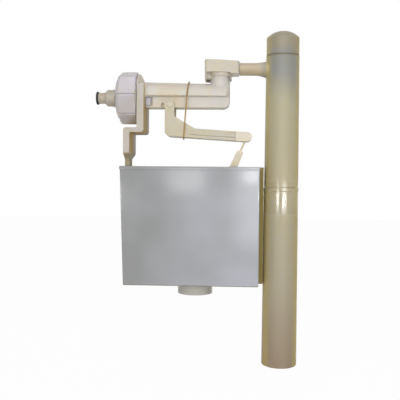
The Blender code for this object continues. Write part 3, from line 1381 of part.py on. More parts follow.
def drain_cage():
    """The spoked ring in the neck that keeps the drain disc in."""
    outer_radius = NECK_RADIUS - NECK_WALL - GAP
    top = CAGE_TOP_Z
    low = NECK_BOTTOM_Z + GAP
    ring = turned(
        "drain_cage",
        [(low, outer_radius), (top, outer_radius)],
        [(low, outer_radius - CAGE_RING_WIDTH), (top, outer_radius - CAGE_RING_WIDTH)],
        axis="Z", centre=(DRAIN_X, 0, 0),
    )
    hub = rod(
        "cage_hub", (DRAIN_X, 0, low + 0.00002), (DRAIN_X, 0, top - 0.00002), CAGE_HUB_RADIUS,
        cutter=True, steps=SMALL_STEPS,
    )
    fuse(ring, hub)
    reach = outer_radius - CAGE_RING_WIDTH / 2
    for index in range(CAGE_SPOKES // 2):
        spoke = box(
            f"cage_spoke_{index}",
            (-reach, -CAGE_SPOKE_WIDTH / 2, -CAGE_THICK / 2 + 0.0005),
            (reach, CAGE_SPOKE_WIDTH / 2, CAGE_THICK / 2 - 0.0010),
            cutter=True,
        )
        spoke.location = (DRAIN_X, 0, (low + top) / 2)
        spoke.rotation_euler.z = math.pi * 2 * index / CAGE_SPOKES
        fuse(ring, spoke)
    hole = rod(
        "cage_hole", (DRAIN_X, 0, low - 0.01), (DRAIN_X, 0, top + 0.01), DISC_STEM_RADIUS + PIN_PLAY,
        cutter=True, steps=16,
    )
    carve(ring, hole)
    return finish(ring, LAVENDER, 0.35)


def drain_disc():
    """The light disc that the cistern's water lifts against the cup's drain seat."""
    low = DISC_BOTTOM_Z
    stem_low = NECK_BOTTOM_Z - DISC_STEM_BELOW_NECK
    disc = turned(
        "drain_disc",
        [
            (stem_low, DISC_STEM_RADIUS - 0.0004),
            (stem_low + 0.0004, DISC_STEM_RADIUS),
            (low, DISC_STEM_RADIUS),
            (low, DISC_RADIUS - 0.0004),
            (low + 0.0004, DISC_RADIUS),
            (low + DISC_THICK, DISC_RADIUS),
        ],
        axis="Z", centre=(DRAIN_X, 0, 0),
    )
    return finish(disc, CREAM, 0.4)


def pipe_radius(z):
    """The pipe's outer radius at a height: each length is a little wider at its foot."""
    if z > PIPE_SEAM_Z:
        share = (PIPE_TOP_Z - z) / (PIPE_TOP_Z - PIPE_SEAM_Z)
        return PIPE_TOP_RADIUS + (PIPE_SEAM_RADIUS - PIPE_TOP_RADIUS) * share
    share = (PIPE_SEAM_Z - z) / (PIPE_SEAM_Z - PIPE_BOTTOM_Z)
    return PIPE_SEAM_RADIUS + (PIPE_BOTTOM_RADIUS - PIPE_SEAM_RADIUS) * share


def standpipe_tee():
    """The upper length of the pipe, with the branch that receives the water."""
    low = PIPE_SEAM_Z + GAP
    pipe = turned(
        "standpipe_tee",
        [(low, PIPE_SEAM_RADIUS), (PIPE_TOP_Z, PIPE_TOP_RADIUS)],
        axis="Z", centre=(PIPE_X, 0, 0),
    )
    flare_x = PIPE_X - PIPE_TOP_RADIUS - BRANCH_FLARE_LENGTH
    branch = rod(
        "tee_branch", (BRANCH_X, 0, BRANCH_Z), (flare_x + 0.0015, 0, BRANCH_Z), BRANCH_RADIUS,
        cutter=True, steps=ROUND_STEPS // 2,
    )
    flare = rod(
        "tee_flare", (flare_x, 0, BRANCH_Z - 0.0001),
        (PIPE_X - PIPE_TOP_RADIUS + 0.004, 0, BRANCH_Z - BRANCH_FLARE_DROP),
        BRANCH_RADIUS - 0.00005, BRANCH_FLARE_RADIUS, cutter=True, steps=ROUND_STEPS // 2,
    )
    fuse(pipe, branch, flare)
    bore = turned(
        "tee_bore",
        [(low - 0.01, PIPE_SEAM_RADIUS - PIPE_WALL), (PIPE_TOP_Z + 0.01, PIPE_TOP_RADIUS - PIPE_WALL)],
        axis="Z", centre=(PIPE_X, 0, 0), cutter=True,
    )
    branch_bore = rod(
        "branch_bore", (BRANCH_X - 0.01, 0, BRANCH_Z), (PIPE_X, 0, BRANCH_Z),
        BRANCH_RADIUS - BRANCH_WALL, cutter=True, steps=ROUND_STEPS // 2,
    )
    carve(pipe, bore, branch_bore)
    return finish(pipe, MILKY, 0.3)


def standpipe_tube():
    """The lower length, with a collar at its top and the rail that carries the cup."""
    top = PIPE_SEAM_Z
    collar_radius = PIPE_SEAM_RADIUS + PIPE_COLLAR_PROUD
    outer = [
        (PIPE_BOTTOM_Z, PIPE_BOTTOM_RADIUS),
        (top - PIPE_COLLAR_HEIGHT - PIPE_COLLAR_PROUD, pipe_radius(top - PIPE_COLLAR_HEIGHT)),
        (top - PIPE_COLLAR_HEIGHT, collar_radius),
        (top - PIPE_COLLAR_PROUD, collar_radius),
        (top, PIPE_SEAM_RADIUS),
    ]
    pipe = turned("standpipe_tube", outer, axis="Z", centre=(PIPE_X, 0, 0))
    rail_top = top - PIPE_COLLAR_HEIGHT - PIPE_COLLAR_PROUD
    head_low = CUP_RIGHT_X + 2 * GAP
    web = box(
        "rail_web",
        (head_low + RAIL_HEAD_THICK / 2, -RAIL_WEB_HALF, CUP_BOTTOM_Z),
        (PIPE_X - PIPE_BOTTOM_RADIUS + PIPE_WALL, RAIL_WEB_HALF, rail_top),
        cutter=True,
    )
    head = box(
        "rail_head",
        (head_low, -RAIL_HEAD_HALF, CUP_BOTTOM_Z + 0.00002),
        (head_low + RAIL_HEAD_THICK, RAIL_HEAD_HALF, rail_top - 0.00002),
        cutter=True,
    )
    fuse(pipe, web, head)
    bore = turned(
        "tube_bore",
        [(PIPE_BOTTOM_Z - 0.01, PIPE_BOTTOM_RADIUS - PIPE_WALL), (top + 0.01, PIPE_SEAM_RADIUS - PIPE_WALL)],
        axis="Z", centre=(PIPE_X, 0, 0), cutter=True,
    )
    carve(pipe, bore)
    return finish(pipe, MILKY, 0.3)


def standpipe_sleeve():
    """The inner sleeve that joins the two lengths of pipe."""
    middle = PIPE_SEAM_Z
    radius = PIPE_SEAM_RADIUS - PIPE_WALL - SLEEVE_PLAY
    outer = [(middle - SLEEVE_LENGTH / 2, radius), (middle + SLEEVE_LENGTH / 2, radius)]
    inner = [(along, radius - SLEEVE_WALL) for along, radius in outer]
    sleeve = turned("standpipe_sleeve", outer, inner, axis="Z", centre=(PIPE_X, 0, 0))
    return finish(sleeve, MILKY, 0.35)


def dome(base_z, base_radius, height, steps=8):
    """The profile of a part of a ball, from its rim to its top."""
    ball = (base_radius ** 2 + height ** 2) / (2 * height)
    half = math.asin(base_radius / ball)
    profile = []
    for step in range(steps + 1):
        angle = half * (1 - step / steps)
        profile.append((base_z + height - ball * (1 - math.cos(angle)), ball * math.sin(angle)))
    return profile


def standpipe_cap():
    """The domed cap, with a spigot inside the pipe's mouth."""
    base = PIPE_TOP_Z + GAP
    radius = PIPE_TOP_RADIUS - 0.0002
    spigot = PIPE_TOP_RADIUS - PIPE_WALL - SLEEVE_PLAY
    side_top = base + CAP_SIDE_HEIGHT
    outer = [
        (base - CAP_SPIGOT_LENGTH, spigot - 0.0002),
        (base, spigot - 0.0002),
        (base, radius),
    ] + dome(side_top, radius, CAP_DOME_HEIGHT)[:-1] + [(side_top + CAP_DOME_HEIGHT, 0.0)]
    inner_radius = spigot - CAP_WALL
    inner = [(base - CAP_SPIGOT_LENGTH, inner_radius)]
    inner += dome(side_top, inner_radius, CAP_DOME_HEIGHT - CAP_WALL)[:-1]
    inner += [(side_top + CAP_DOME_HEIGHT - CAP_WALL, 0.0)]
    loop = list(reversed(outer)) + inner
    bm = bmesh.new()
    verts = [bm.verts.new((max(r, 0.0), 0, along)) for along, r in loop]
    for first, second in zip(verts, verts[1:]):
        bm.edges.new((first, second))
    cap = add_bmesh("standpipe_cap", bm)
    cap.location = (PIPE_X, 0, 0)
    spin = cap.modifiers.new("spin", "SCREW")
    spin.steps = ROUND_STEPS
    spin.render_steps = ROUND_STEPS
    spin.use_merge_vertices = True
    spin.merge_threshold = 0.00001
    return finish(cap, MILKY, 0.3)


def hood_plan(inset):
    return round_corners([
        (HOOD_LEFT_X + inset, -HOOD_HALF_DEPTH + inset, HOOD_CORNER - inset),
        (HOOD_RIGHT_X - inset, -HOOD_HALF_DEPTH + inset, HOOD_SKIRT_CORNER - inset),
        (HOOD_RIGHT_X - inset, HOOD_HALF_DEPTH - inset, HOOD_SKIRT_CORNER - inset),
        (HOOD_LEFT_X + inset, HOOD_HALF_DEPTH - inset, HOOD_CORNER - inset),
    ])


def outlet_hood():
    """The air-break hood over the riser, with a spigot into the pipe's branch."""
    skirt_top = (HOOD_ROOF_Z + HOOD_TOP_Z) / 2
    hood = plate("outlet_hood", hood_plan(GAP / 3), "Z", HOOD_SKIRT_Z, skirt_top)
    housing = plate(
        "hood_housing",
        round_corners([
            (HOOD_LEFT_X, -HOOD_HALF_DEPTH, HOOD_CORNER),
            (RISER_X, -HOOD_HALF_DEPTH, 0),
            (HOOD_NECK_X, -HOOD_END_HALF_DEPTH, HOOD_END_CORNER),
            (HOOD_NECK_X, HOOD_END_HALF_DEPTH, HOOD_END_CORNER),
            (RISER_X, HOOD_HALF_DEPTH, 0),
            (HOOD_LEFT_X, HOOD_HALF_DEPTH, HOOD_CORNER),
        ]),
        "Z", HOOD_BOX_LOW_Z, HOOD_TOP_Z + 0.002, cutter=True,
    )
    below_slope = plate(
        "hood_below_slope",
        round_corners([
            (HOOD_LEFT_X - 0.005, HOOD_SKIRT_Z, 0),
            (HOOD_NECK_X + 0.005, HOOD_SKIRT_Z, 0),
            (HOOD_NECK_X + 0.005, HOOD_TOP_Z - HOOD_TOP_FALL, 0),
            (HOOD_NECK_X, HOOD_TOP_Z - HOOD_TOP_FALL, 0),
            (HOOD_LEFT_X, HOOD_TOP_Z, 0),
            (HOOD_LEFT_X - 0.005, HOOD_TOP_Z, 0),
        ]),
        "Y", -FAR / 8, FAR / 8, cutter=True,
    )
    keep_inside(housing, below_slope)
    spigot_radius = BRANCH_RADIUS - BRANCH_WALL - GAP
    spigot = rod(
        "hood_spigot",
        (HOOD_RIGHT_X + 0.002, 0, BRANCH_Z), (HOOD_NECK_X + HOOD_SPIGOT_LENGTH, 0, BRANCH_Z),
        spigot_radius, cutter=True, steps=SMALL_STEPS,
    )
    skirt_space = plate(
        "hood_skirt_space", hood_plan(HOOD_WALL - GAP / 2), "Z", HOOD_SKIRT_Z - 0.01, HOOD_ROOF_Z,
        cutter=True,
    )
    riser_hole = RISER_RADIUS + GAP
    collar = rod(
        "hood_collar", (RISER_X, 0, HOOD_ROOF_Z - HOOD_COLLAR_DROP), (RISER_X, 0, HOOD_ROOF_Z + 0.001),
        riser_hole + HOOD_COLLAR_WALL, cutter=True, steps=ROUND_STEPS,
    )
    within = plate(
        "hood_within", hood_plan(HOOD_WALL / 2), "Z", HOOD_SKIRT_Z - 0.02, HOOD_TOP_Z + 0.01, cutter=True,
    )
    keep_inside(collar, within)
    chamber = turned(
        "hood_chamber",
        [
            (HOOD_SKIRT_Z - 0.02, riser_hole),
            (RISER_TOP_Z + GAP, riser_hole),
            (RISER_TOP_Z + GAP, riser_hole - HOOD_CHAMBER_STEP),
            (HOOD_TOP_Z - HOOD_WALL, riser_hole - HOOD_CHAMBER_STEP),
        ],
        axis="Z", centre=(RISER_X, 0, 0), cutter=True,
    )
    outlet = rod(
        "hood_outlet", (RISER_X, 0, BRANCH_Z), (HOOD_NECK_X + HOOD_SPIGOT_LENGTH + 0.01, 0, BRANCH_Z),
        spigot_radius - HOOD_SPIGOT_WALL, cutter=True, steps=SMALL_STEPS,
    )
    air_window = box(
        "hood_air_window",
        (HOOD_LEFT_X + HOOD_WALL + 0.0005, -HOOD_HALF_DEPTH - 0.01, HOOD_SKIRT_Z - 0.01),
        (HOOD_RIGHT_X - HOOD_WALL - 0.0005, -HOOD_HALF_DEPTH / 2, HOOD_ROOF_Z - 0.0004),
        cutter=True,
    )
    web = box(
        "hood_web",
        (HOOD_LEFT_X + HOOD_WALL / 2, -HOOD_WEB_HALF, HOOD_SKIRT_Z + HOOD_WEB_RISE),
        (RISER_X, HOOD_WEB_HALF, HOOD_ROOF_Z + 0.001),
        cutter=True,
    )
    fuse(hood, housing, spigot)
    carve(hood, skirt_space, air_window)
    fuse(hood, collar, web)
    carve(hood, chamber, outlet)
    return finish(hood, CREAM, 0.35)


inlet_tail()
inlet_strainer()
inlet_seal_ring()
union_nut()
diaphragm()
valve_body()
riser_seal()
lever_pivot_pin()
float_hanger()
float_hinge_pin()
float_cup()
drain_cage()
outlet_hood()
standpipe_tee()
standpipe_tube()
standpipe_sleeve()
standpipe_cap()
rubber_band()
hang_on(axis_empty("plunger_slide_axis", (HEAD_X, 0, 0)), plunger())
hang_on(axis_empty("lever_pivot_axis", PIVOT), lever(), lever_end_pin())
hang_on(axis_empty("link_swing_axis", LINK_TOP), link_rod(), link_clip())
hang_on(axis_empty("float_hinge_axis", FLOAT_HINGE), float_plate(), float_bell(), float_link_pin())
hang_on(axis_empty("drain_disc_axis", (DRAIN_X, 0, DISC_BOTTOM_Z)), drain_disc())
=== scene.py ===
# %% [markdown]
# A cistern fill valve, dressed. The valve hangs from its inlet tail in the wall of a cistern.
# Water comes in at the left, goes along the body, up a riser into a hood, and falls through
# a long silencer pipe. A float in a grey cup closes the valve through a lever. This file loads
# the solids of that valve and gives each of them its moulded form and its finish.

# %% Load the valve
import json
import math

import bmesh
import bpy
from mathutils import Matrix, Vector

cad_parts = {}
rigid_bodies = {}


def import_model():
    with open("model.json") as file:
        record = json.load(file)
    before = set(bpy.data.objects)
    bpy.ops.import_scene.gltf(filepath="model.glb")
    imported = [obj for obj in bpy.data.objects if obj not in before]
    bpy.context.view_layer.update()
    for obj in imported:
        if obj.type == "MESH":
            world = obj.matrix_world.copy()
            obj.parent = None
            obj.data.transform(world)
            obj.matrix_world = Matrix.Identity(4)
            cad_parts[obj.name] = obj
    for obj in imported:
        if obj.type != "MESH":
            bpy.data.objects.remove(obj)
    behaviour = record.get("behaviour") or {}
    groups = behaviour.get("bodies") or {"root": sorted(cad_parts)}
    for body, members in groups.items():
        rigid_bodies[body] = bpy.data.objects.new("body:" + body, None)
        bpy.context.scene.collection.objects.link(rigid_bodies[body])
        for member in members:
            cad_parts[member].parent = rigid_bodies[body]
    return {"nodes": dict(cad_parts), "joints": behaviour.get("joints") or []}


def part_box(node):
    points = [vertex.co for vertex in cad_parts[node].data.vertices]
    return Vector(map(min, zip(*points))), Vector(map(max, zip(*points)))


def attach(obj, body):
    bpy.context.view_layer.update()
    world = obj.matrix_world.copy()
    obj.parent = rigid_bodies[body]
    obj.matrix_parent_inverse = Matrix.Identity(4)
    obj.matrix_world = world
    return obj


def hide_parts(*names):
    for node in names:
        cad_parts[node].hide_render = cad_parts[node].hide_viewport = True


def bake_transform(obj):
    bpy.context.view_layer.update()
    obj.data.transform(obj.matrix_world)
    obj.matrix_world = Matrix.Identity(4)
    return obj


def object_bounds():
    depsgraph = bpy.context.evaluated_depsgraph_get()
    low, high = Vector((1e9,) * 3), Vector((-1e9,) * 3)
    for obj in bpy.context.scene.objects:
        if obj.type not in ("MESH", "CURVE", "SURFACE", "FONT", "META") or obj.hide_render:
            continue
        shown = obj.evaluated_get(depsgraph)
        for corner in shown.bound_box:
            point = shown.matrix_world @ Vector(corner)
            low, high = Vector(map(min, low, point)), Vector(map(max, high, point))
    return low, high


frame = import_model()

MM = 0.001
nodes = frame["nodes"]
solid_box = [list(corner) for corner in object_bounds()]
joint_at = {joint["name"]: Vector(joint["pos_m"]) for joint in frame["joints"] if "pos_m" in joint}
print(f"{len(nodes)} solids, {len(joint_at)} hinges")

# %% [markdown]
# The photograph was taken from straight in front, a little to the right of the inlet and at the
# height of the cup, from less than a metre away. A camera with the same place, tilt and field
# of view comes first, because every later choice is judged through it. The picture is square
# and 400 pixels wide, so a lens of 583 pixels is 52 mm on a 36 mm sensor.

# %% Camera
CAMERA_PLACE = Vector((112.0, -583.0, -78.6)) * MM
CAMERA_YAW = math.radians(-2.55)
CAMERA_PITCH = math.radians(-2.2)
CAMERA_ROLL = math.radians(0.5)
LENS_PIXELS = 583
PICTURE_PIXELS = 400
SENSOR = 36


def look_matrix(place, yaw, pitch, roll):
    ahead = Vector((math.sin(yaw) * math.cos(pitch), math.cos(yaw) * math.cos(pitch), math.sin(pitch)))
    right = ahead.cross(Vector((0, 0, 1))).normalized()
    up = right.cross(ahead)
    right_rolled = right * math.cos(roll) + up * math.sin(roll)
    up_rolled = up * math.cos(roll) - right * math.sin(roll)
    matrix = Matrix((right_rolled, up_rolled, -ahead)).transposed().to_4x4()
    matrix.translation = place
    return matrix


camera = bpy.data.objects.new("camera", bpy.data.cameras.new("camera"))
camera.data.sensor_width = SENSOR
camera.data.lens = SENSOR * LENS_PIXELS / PICTURE_PIXELS
bpy.context.scene.collection.objects.link(camera)
camera.matrix_world = look_matrix(CAMERA_PLACE, CAMERA_YAW, CAMERA_PITCH, CAMERA_ROLL)
bpy.context.scene.camera = camera
print("lens", round(camera.data.lens, 2), "mm")

# %% [markdown]
# Moulded plastic is never one flat colour. Acetal and polypropylene that have lain in a box for
# years turn warmer in some places and stay cooler in others, their gloss wanders a little, and
# the skin of the moulding has a very fine unevenness. So each plastic here mixes three close
# colours with a slow noise, lets a second noise move the roughness, and adds a faint bump.
# Object coordinates are used throughout, because each piece keeps its place in its own mesh.

# %% Helpers for finishes
# The line of a stain wanders by this much to each side.
FRAY = 0.2 * MM
SKIN_BUMP = 0.03 * MM
PLASTIC_IOR, PIPE_IOR, CUP_IOR = 1.48, 1.49, 1.5


def srgb(red, green, blue):
    """A colour given on a 0 to 255 scale, as the linear values that a shader takes."""
    def linear(value):
        value /= 255
        return value / 12.92 if value <= 0.04045 else ((value + 0.055) / 1.055) ** 2.4
    return (linear(red), linear(green), linear(blue), 1.0)


def blank_finish(name):
    finish = bpy.data.materials.new(name)
    finish.use_nodes = True
    tree = finish.node_tree
    shader = tree.nodes["Principled BSDF"]
    place = tree.nodes.new("ShaderNodeTexCoord")
    return finish, tree, shader, place.outputs["Object"]


def noise_on(tree, vector, scale, detail=2.0, rough=0.5, stretch=(1, 1, 1)):
    mapping = tree.nodes.new("ShaderNodeMapping")
    mapping.inputs["Scale"].default_value = stretch
    tree.links.new(vector, mapping.inputs["Vector"])
    noise = tree.nodes.new("ShaderNodeTexNoise")
    noise.inputs["Scale"].default_value = scale
    noise.inputs["Detail"].default_value = detail
    noise.inputs["Roughness"].default_value = rough
    tree.links.new(mapping.outputs["Vector"], noise.inputs["Vector"])
    return noise.outputs["Fac"]


def ramp_on(tree, value, stops):
    ramp = tree.nodes.new("ShaderNodeValToRGB")
    elements = ramp.color_ramp.elements
    while len(elements) < len(stops):
        elements.new(0.5)
    for element, (position, colour) in zip(elements, stops):
        element.position = position
        element.color = colour
    tree.links.new(value, ramp.inputs["Fac"])
    return ramp.outputs["Color"]


def range_on(tree, value, low, high, from_low=0.3, from_high=0.7):
    span = tree.nodes.new("ShaderNodeMapRange")
    span.inputs["From Min"].default_value = from_low
    span.inputs["From Max"].default_value = from_high
    span.inputs["To Min"].default_value = low
    span.inputs["To Max"].default_value = high
    tree.links.new(value, span.inputs["Value"])
    return span.outputs["Result"]


def bump_on(tree, shader, height, distance, strength=1.0):
    bump = tree.nodes.new("ShaderNodeBump")
    bump.inputs["Strength"].default_value = strength
    bump.inputs["Distance"].default_value = distance
    tree.links.new(height, bump.inputs["Height"])
    tree.links.new(bump.outputs["Normal"], shader.inputs["Normal"])


def coordinate_on(tree, place, letter):
    split = tree.nodes.new("ShaderNodeSeparateXYZ")
    tree.links.new(place, split.inputs["Vector"])
    return split.outputs[letter]


def sum_on(tree, first, second):
    total = tree.nodes.new("ShaderNodeMath")
    tree.links.new(first, total.inputs[0])
    tree.links.new(second, total.inputs[1])
    return total.outputs["Value"]


def mix_on(tree, share, first, second):
    mix = tree.nodes.new("ShaderNodeMix")
    mix.data_type = "RGBA"
    tree.links.new(share, mix.inputs[0])
    tree.links.new(first, mix.inputs[6])
    mix.inputs[7].default_value = second
    return mix.outputs[2]


print("node helpers ready")

# %% [markdown]
# Two recipes use those nodes. A stain, or a painted shade, starts at one coordinate and is full at
# another, with a frayed line between them, as dirt and age leave a stain. A moulded plastic is the
# whole finish: three shades, any stains and painted shades, a gloss that wanders, a fine skin, and
# light that goes in a little.

# %% Stains, painted shade and moulded plastic


def stain_and_shade_on(tree, place, colour, stain_or_shade):
    """Lay a stain or a painted shade over the colour: none of it at one coordinate, all of it at the other.
    """
    letter, starts_at, full_at, shade = stain_or_shade
    fray = range_on(tree, noise_on(tree, place, 300, 3.0), -FRAY, FRAY)
    edge = sum_on(tree, coordinate_on(tree, place, letter), fray)
    return mix_on(tree, range_on(tree, edge, 0.0, 1.0, starts_at, full_at), colour, shade)


def let_light_in(shader, depth, reach):
    """Let light go into the plastic. The reach says how far red, green and blue go, as shares."""
    shader.inputs["Subsurface Weight"].default_value = 1.0
    shader.inputs["Subsurface Scale"].default_value = depth
    shader.inputs["Subsurface Radius"].default_value = reach


def moulded(name, warm, middle, cool, roughness, depth, stains_and_shades=()):
    """A moulded plastic: three close colours, a gloss that wanders, a fine skin, a little depth."""
    finish, tree, shader, place = blank_finish(name)
    slow = noise_on(tree, place, 38, 3.0, 0.55)
    colour = ramp_on(tree, slow, [(0.36, warm), (0.50, middle), (0.64, cool)])
    for stain_or_shade in stains_and_shades:
        colour = stain_and_shade_on(tree, place, colour, stain_or_shade)
    tree.links.new(colour, shader.inputs["Base Color"])
    patches = noise_on(tree, place, 114, 4.0)
    rough = range_on(tree, patches, roughness - 0.05, roughness + 0.07)
    tree.links.new(rough, shader.inputs["Roughness"])
    bump_on(tree, shader, noise_on(tree, place, 900, 3.0), SKIN_BUMP)
    let_light_in(shader, depth, (1.0, 0.85, 0.5))
    shader.inputs["IOR"].default_value = PLASTIC_IOR
    return finish


print("skin bump", round(SKIN_BUMP / MM, 3), "mm")

# %% [markdown]
# Most finishes are plastics. The body, hood, inlet, link, lever and strap are all acetal, but each
# has aged in its own way: the link is paler than the beige body, the hood is less yellow, the
# inlet is greyer and the lever a little greener. The nut is colder, nearly lavender, and the bell
# in the cup is plain white. So each plastic is one row of values, and one function makes the
# finish. The strap also has painted shade: its front is clean, its sides are painted an olive
# shade, and that painted shade fades towards its back.

# %% Plastic finishes
# Each row gives the warm, the middle and the cool shade, the roughness, and how deep light goes.
BEIGE_ACETAL = srgb(203, 192, 170), srgb(204, 196, 181), srgb(203, 199, 193), 0.38, 0.6 * MM
HOOD_ACETAL = srgb(197, 189, 174), srgb(199, 193, 183), srgb(200, 197, 192), 0.38, 0.5 * MM
GREY_ACETAL = srgb(176, 166, 150), srgb(181, 173, 160), srgb(182, 176, 168), 0.42, 0.4 * MM
PALE_ACETAL = srgb(218, 209, 190), srgb(221, 213, 198), srgb(222, 217, 206), 0.40, 0.3 * MM
LEVER_ACETAL = srgb(193, 185, 163), srgb(194, 188, 170), srgb(194, 190, 178), 0.38, 0.6 * MM
STRAP_ACETAL = srgb(189, 181, 167), srgb(191, 185, 177), srgb(190, 187, 184), 0.60, 0.4 * MM
NUT_ACETAL = srgb(190, 186, 188), srgb(195, 191, 197), srgb(198, 194, 203), 0.30, 0.3 * MM
BELL_PLASTIC = srgb(214, 212, 204), srgb(224, 223, 218), srgb(228, 229, 230), 0.42, 0.8 * MM
# The strap's olive sides are a painted shade, full just behind its front and gone towards its back. The
# tongue below keeps its own olive grey.
STRAP_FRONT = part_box("float_hanger")[0].y
STRAP_SHADE_START, STRAP_SHADE_FULL = 0.4 * MM, 1.2 * MM
STRAP_SHADE_ENDS, STRAP_SHADE_FADE = 3 * MM, 8 * MM
TONGUE_START, TONGUE_FADE = -55.5 * MM, 2 * MM
STRAP_SIDE_SHADE, TONGUE_OLIVE = srgb(192, 163, 92), srgb(178, 168, 142)

acetal = moulded("beige_acetal", *BEIGE_ACETAL)
hood_acetal = moulded("hood_acetal", *HOOD_ACETAL)
grey_acetal = moulded("grey_acetal", *GREY_ACETAL)
pale_acetal = moulded("pale_acetal", *PALE_ACETAL)
strap_acetal = moulded("stained_and_shaded_acetal", *STRAP_ACETAL, stains_and_shades=[
    ("Y", STRAP_FRONT + STRAP_SHADE_START, STRAP_FRONT + STRAP_SHADE_FULL, STRAP_SIDE_SHADE),
    ("Y", STRAP_SHADE_ENDS, STRAP_SHADE_ENDS + STRAP_SHADE_FADE, STRAP_ACETAL[1]),
    ("Z", TONGUE_START + TONGUE_FADE, TONGUE_START - TONGUE_FADE, TONGUE_OLIVE),
])
nut_acetal = moulded("lavender_acetal", *NUT_ACETAL)
bell_white = moulded("bell_white", *BELL_PLASTIC)
for made in (acetal, hood_acetal, grey_acetal, pale_acetal, strap_acetal, nut_acetal, bell_white):
    print(made.name, len(made.node_tree.nodes), "shader nodes")

# %% [markdown]
# The pipe changes along its length as well: near the branch a painted shade makes it darker and
# cooler, and towards its foot it turns browner. The height in the Object coordinate
# drives that change, and the streaky noise is added to it so that the bands have no clean edge.
# Both sides of the pipe carry a painted olive shade, lighter on the left, the seam has dirt in it,
# the branch is beige, and just under the collar the pipe is rubbed smooth, so it shines there.

# %% Milky pipe finish
# Each shade with its share of the way up from the pipe's foot to its cap.
# The two blue-grey shades near the branch are painted shade.
PIPE_TONES_AND_SHADE = [
    (0.02, srgb(155, 140, 121)), (0.25, srgb(171, 163, 144)), (0.55, srgb(177, 169, 143)),
    (0.79, srgb(175, 170, 146)), (0.87, srgb(146, 147, 142)), (0.925, srgb(141, 142, 137)),
    (0.95, srgb(154, 146, 129)),
]
PIPE_STREAKS, PIPE_DEPTH = 0.018, 0.8 * MM
PIPE_ROUGH_LOW, PIPE_ROUGH_HIGH = 0.38, 0.48
NO_STAIN_OR_SHADE, FULL_STAIN_OR_SHADE = (0, 0, 0, 1), (0.8, 0.8, 0.8, 1)
PIPE_LEFT_PAINTED_SHADE, PIPE_RIGHT_PAINTED_SHADE = srgb(196, 180, 118), srgb(184, 166, 74)
BRANCH_BEIGE = srgb(188, 176, 154)
BRANCH_CLEAN, BRANCH_STAINED = 1 * MM, -7 * MM
PIPE_SIDE_SHADE_WIDTH = 6.0 * MM
SEAM_DIRT, SEAM_SHADE = 2.0 * MM, srgb(128, 122, 98)
POLISHED_LOW, POLISHED_HIGH = -106 * MM, -89 * MM
POLISHED_FADE, POLISHED_ROUGHNESS = 14 * MM, 0.13


def milky_pipe():
    finish, tree, shader, place = blank_finish("milky_polypropylene")
    top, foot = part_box("standpipe_cap")[1].z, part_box("standpipe_tube")[0].z
    left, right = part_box("standpipe_cap")[0].x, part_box("standpipe_cap")[1].x
    level = coordinate_on(tree, place, "Z")
    height = range_on(tree, level, 0.0, 1.0, foot, top)
    streaks = noise_on(tree, place, 60, 3.0, 0.55, (1, 1, 0.15))
    drift = range_on(tree, streaks, -PIPE_STREAKS, PIPE_STREAKS)
    colour = ramp_on(tree, sum_on(tree, height, drift), PIPE_TONES_AND_SHADE)
    # Painted shade: an olive band down each side of the pipe, lighter on the left than on the right.
    start, end = left - PIPE_SIDE_SHADE_WIDTH, right + PIPE_SIDE_SHADE_WIDTH
    across = range_on(tree, coordinate_on(tree, place, "X"), 0.0, 1.0, start, end)
    edge = PIPE_SIDE_SHADE_WIDTH / (end - start)
    outer, inner = 0.7 * edge, 1.9 * edge
    left_shade = ramp_on(tree, across, [
        (outer, NO_STAIN_OR_SHADE), (edge, FULL_STAIN_OR_SHADE), (inner, NO_STAIN_OR_SHADE),
    ])
    right_shade = ramp_on(tree, across, [
        (1 - inner, NO_STAIN_OR_SHADE), (1 - edge, FULL_STAIN_OR_SHADE), (1 - outer, NO_STAIN_OR_SHADE),
    ])
    colour = mix_on(tree, left_shade, colour, PIPE_LEFT_PAINTED_SHADE)
    colour = mix_on(tree, right_shade, colour, PIPE_RIGHT_PAINTED_SHADE)
    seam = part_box("standpipe_tee")[1].z
    fray = range_on(tree, noise_on(tree, place, 250, 3.0), -2 * FRAY, 2 * FRAY)
    near = range_on(tree, sum_on(tree, level, fray), 0.0, 1.0, seam - SEAM_DIRT, seam + SEAM_DIRT)
    dirt = ramp_on(tree, near, [
        (0.1, NO_STAIN_OR_SHADE), (0.4, FULL_STAIN_OR_SHADE), (0.6, FULL_STAIN_OR_SHADE), (0.9, NO_STAIN_OR_SHADE),
    ])
    colour = mix_on(tree, dirt, colour, SEAM_SHADE)
    branch = "X", left + BRANCH_CLEAN, left + BRANCH_STAINED, BRANCH_BEIGE
    colour = stain_and_shade_on(tree, place, colour, branch)
    tree.links.new(colour, shader.inputs["Base Color"])
    gloss = noise_on(tree, place, 120, 3.0, 0.5, (1, 1, 0.3))
    rough = range_on(tree, gloss, PIPE_ROUGH_LOW, PIPE_ROUGH_HIGH)
    polished = range_on(tree, level, 0.0, 1.0, POLISHED_LOW - POLISHED_FADE, POLISHED_LOW)
    above = range_on(tree, level, 1.0, 0.0, POLISHED_HIGH, POLISHED_HIGH + POLISHED_FADE)
    both = tree.nodes.new("ShaderNodeMath")
    both.operation = "MULTIPLY"
    tree.links.new(polished, both.inputs[0])
    tree.links.new(above, both.inputs[1])
    smooth = tree.nodes.new("ShaderNodeMapRange")
    smooth.inputs["To Max"].default_value = POLISHED_ROUGHNESS
    tree.links.new(rough, smooth.inputs["To Min"])
    tree.links.new(both.outputs["Value"], smooth.inputs["Value"])
    tree.links.new(smooth.outputs["Result"], shader.inputs["Roughness"])
    bump_on(tree, shader, noise_on(tree, place, 700, 3.0, 0.5, (1, 1, 0.2)), SKIN_BUMP)
    let_light_in(shader, PIPE_DEPTH, (1.0, 0.8, 0.4))
    shader.inputs["IOR"].default_value = PIPE_IOR
    return finish


milky = milky_pipe()
print(milky.name, "from foot to cap")
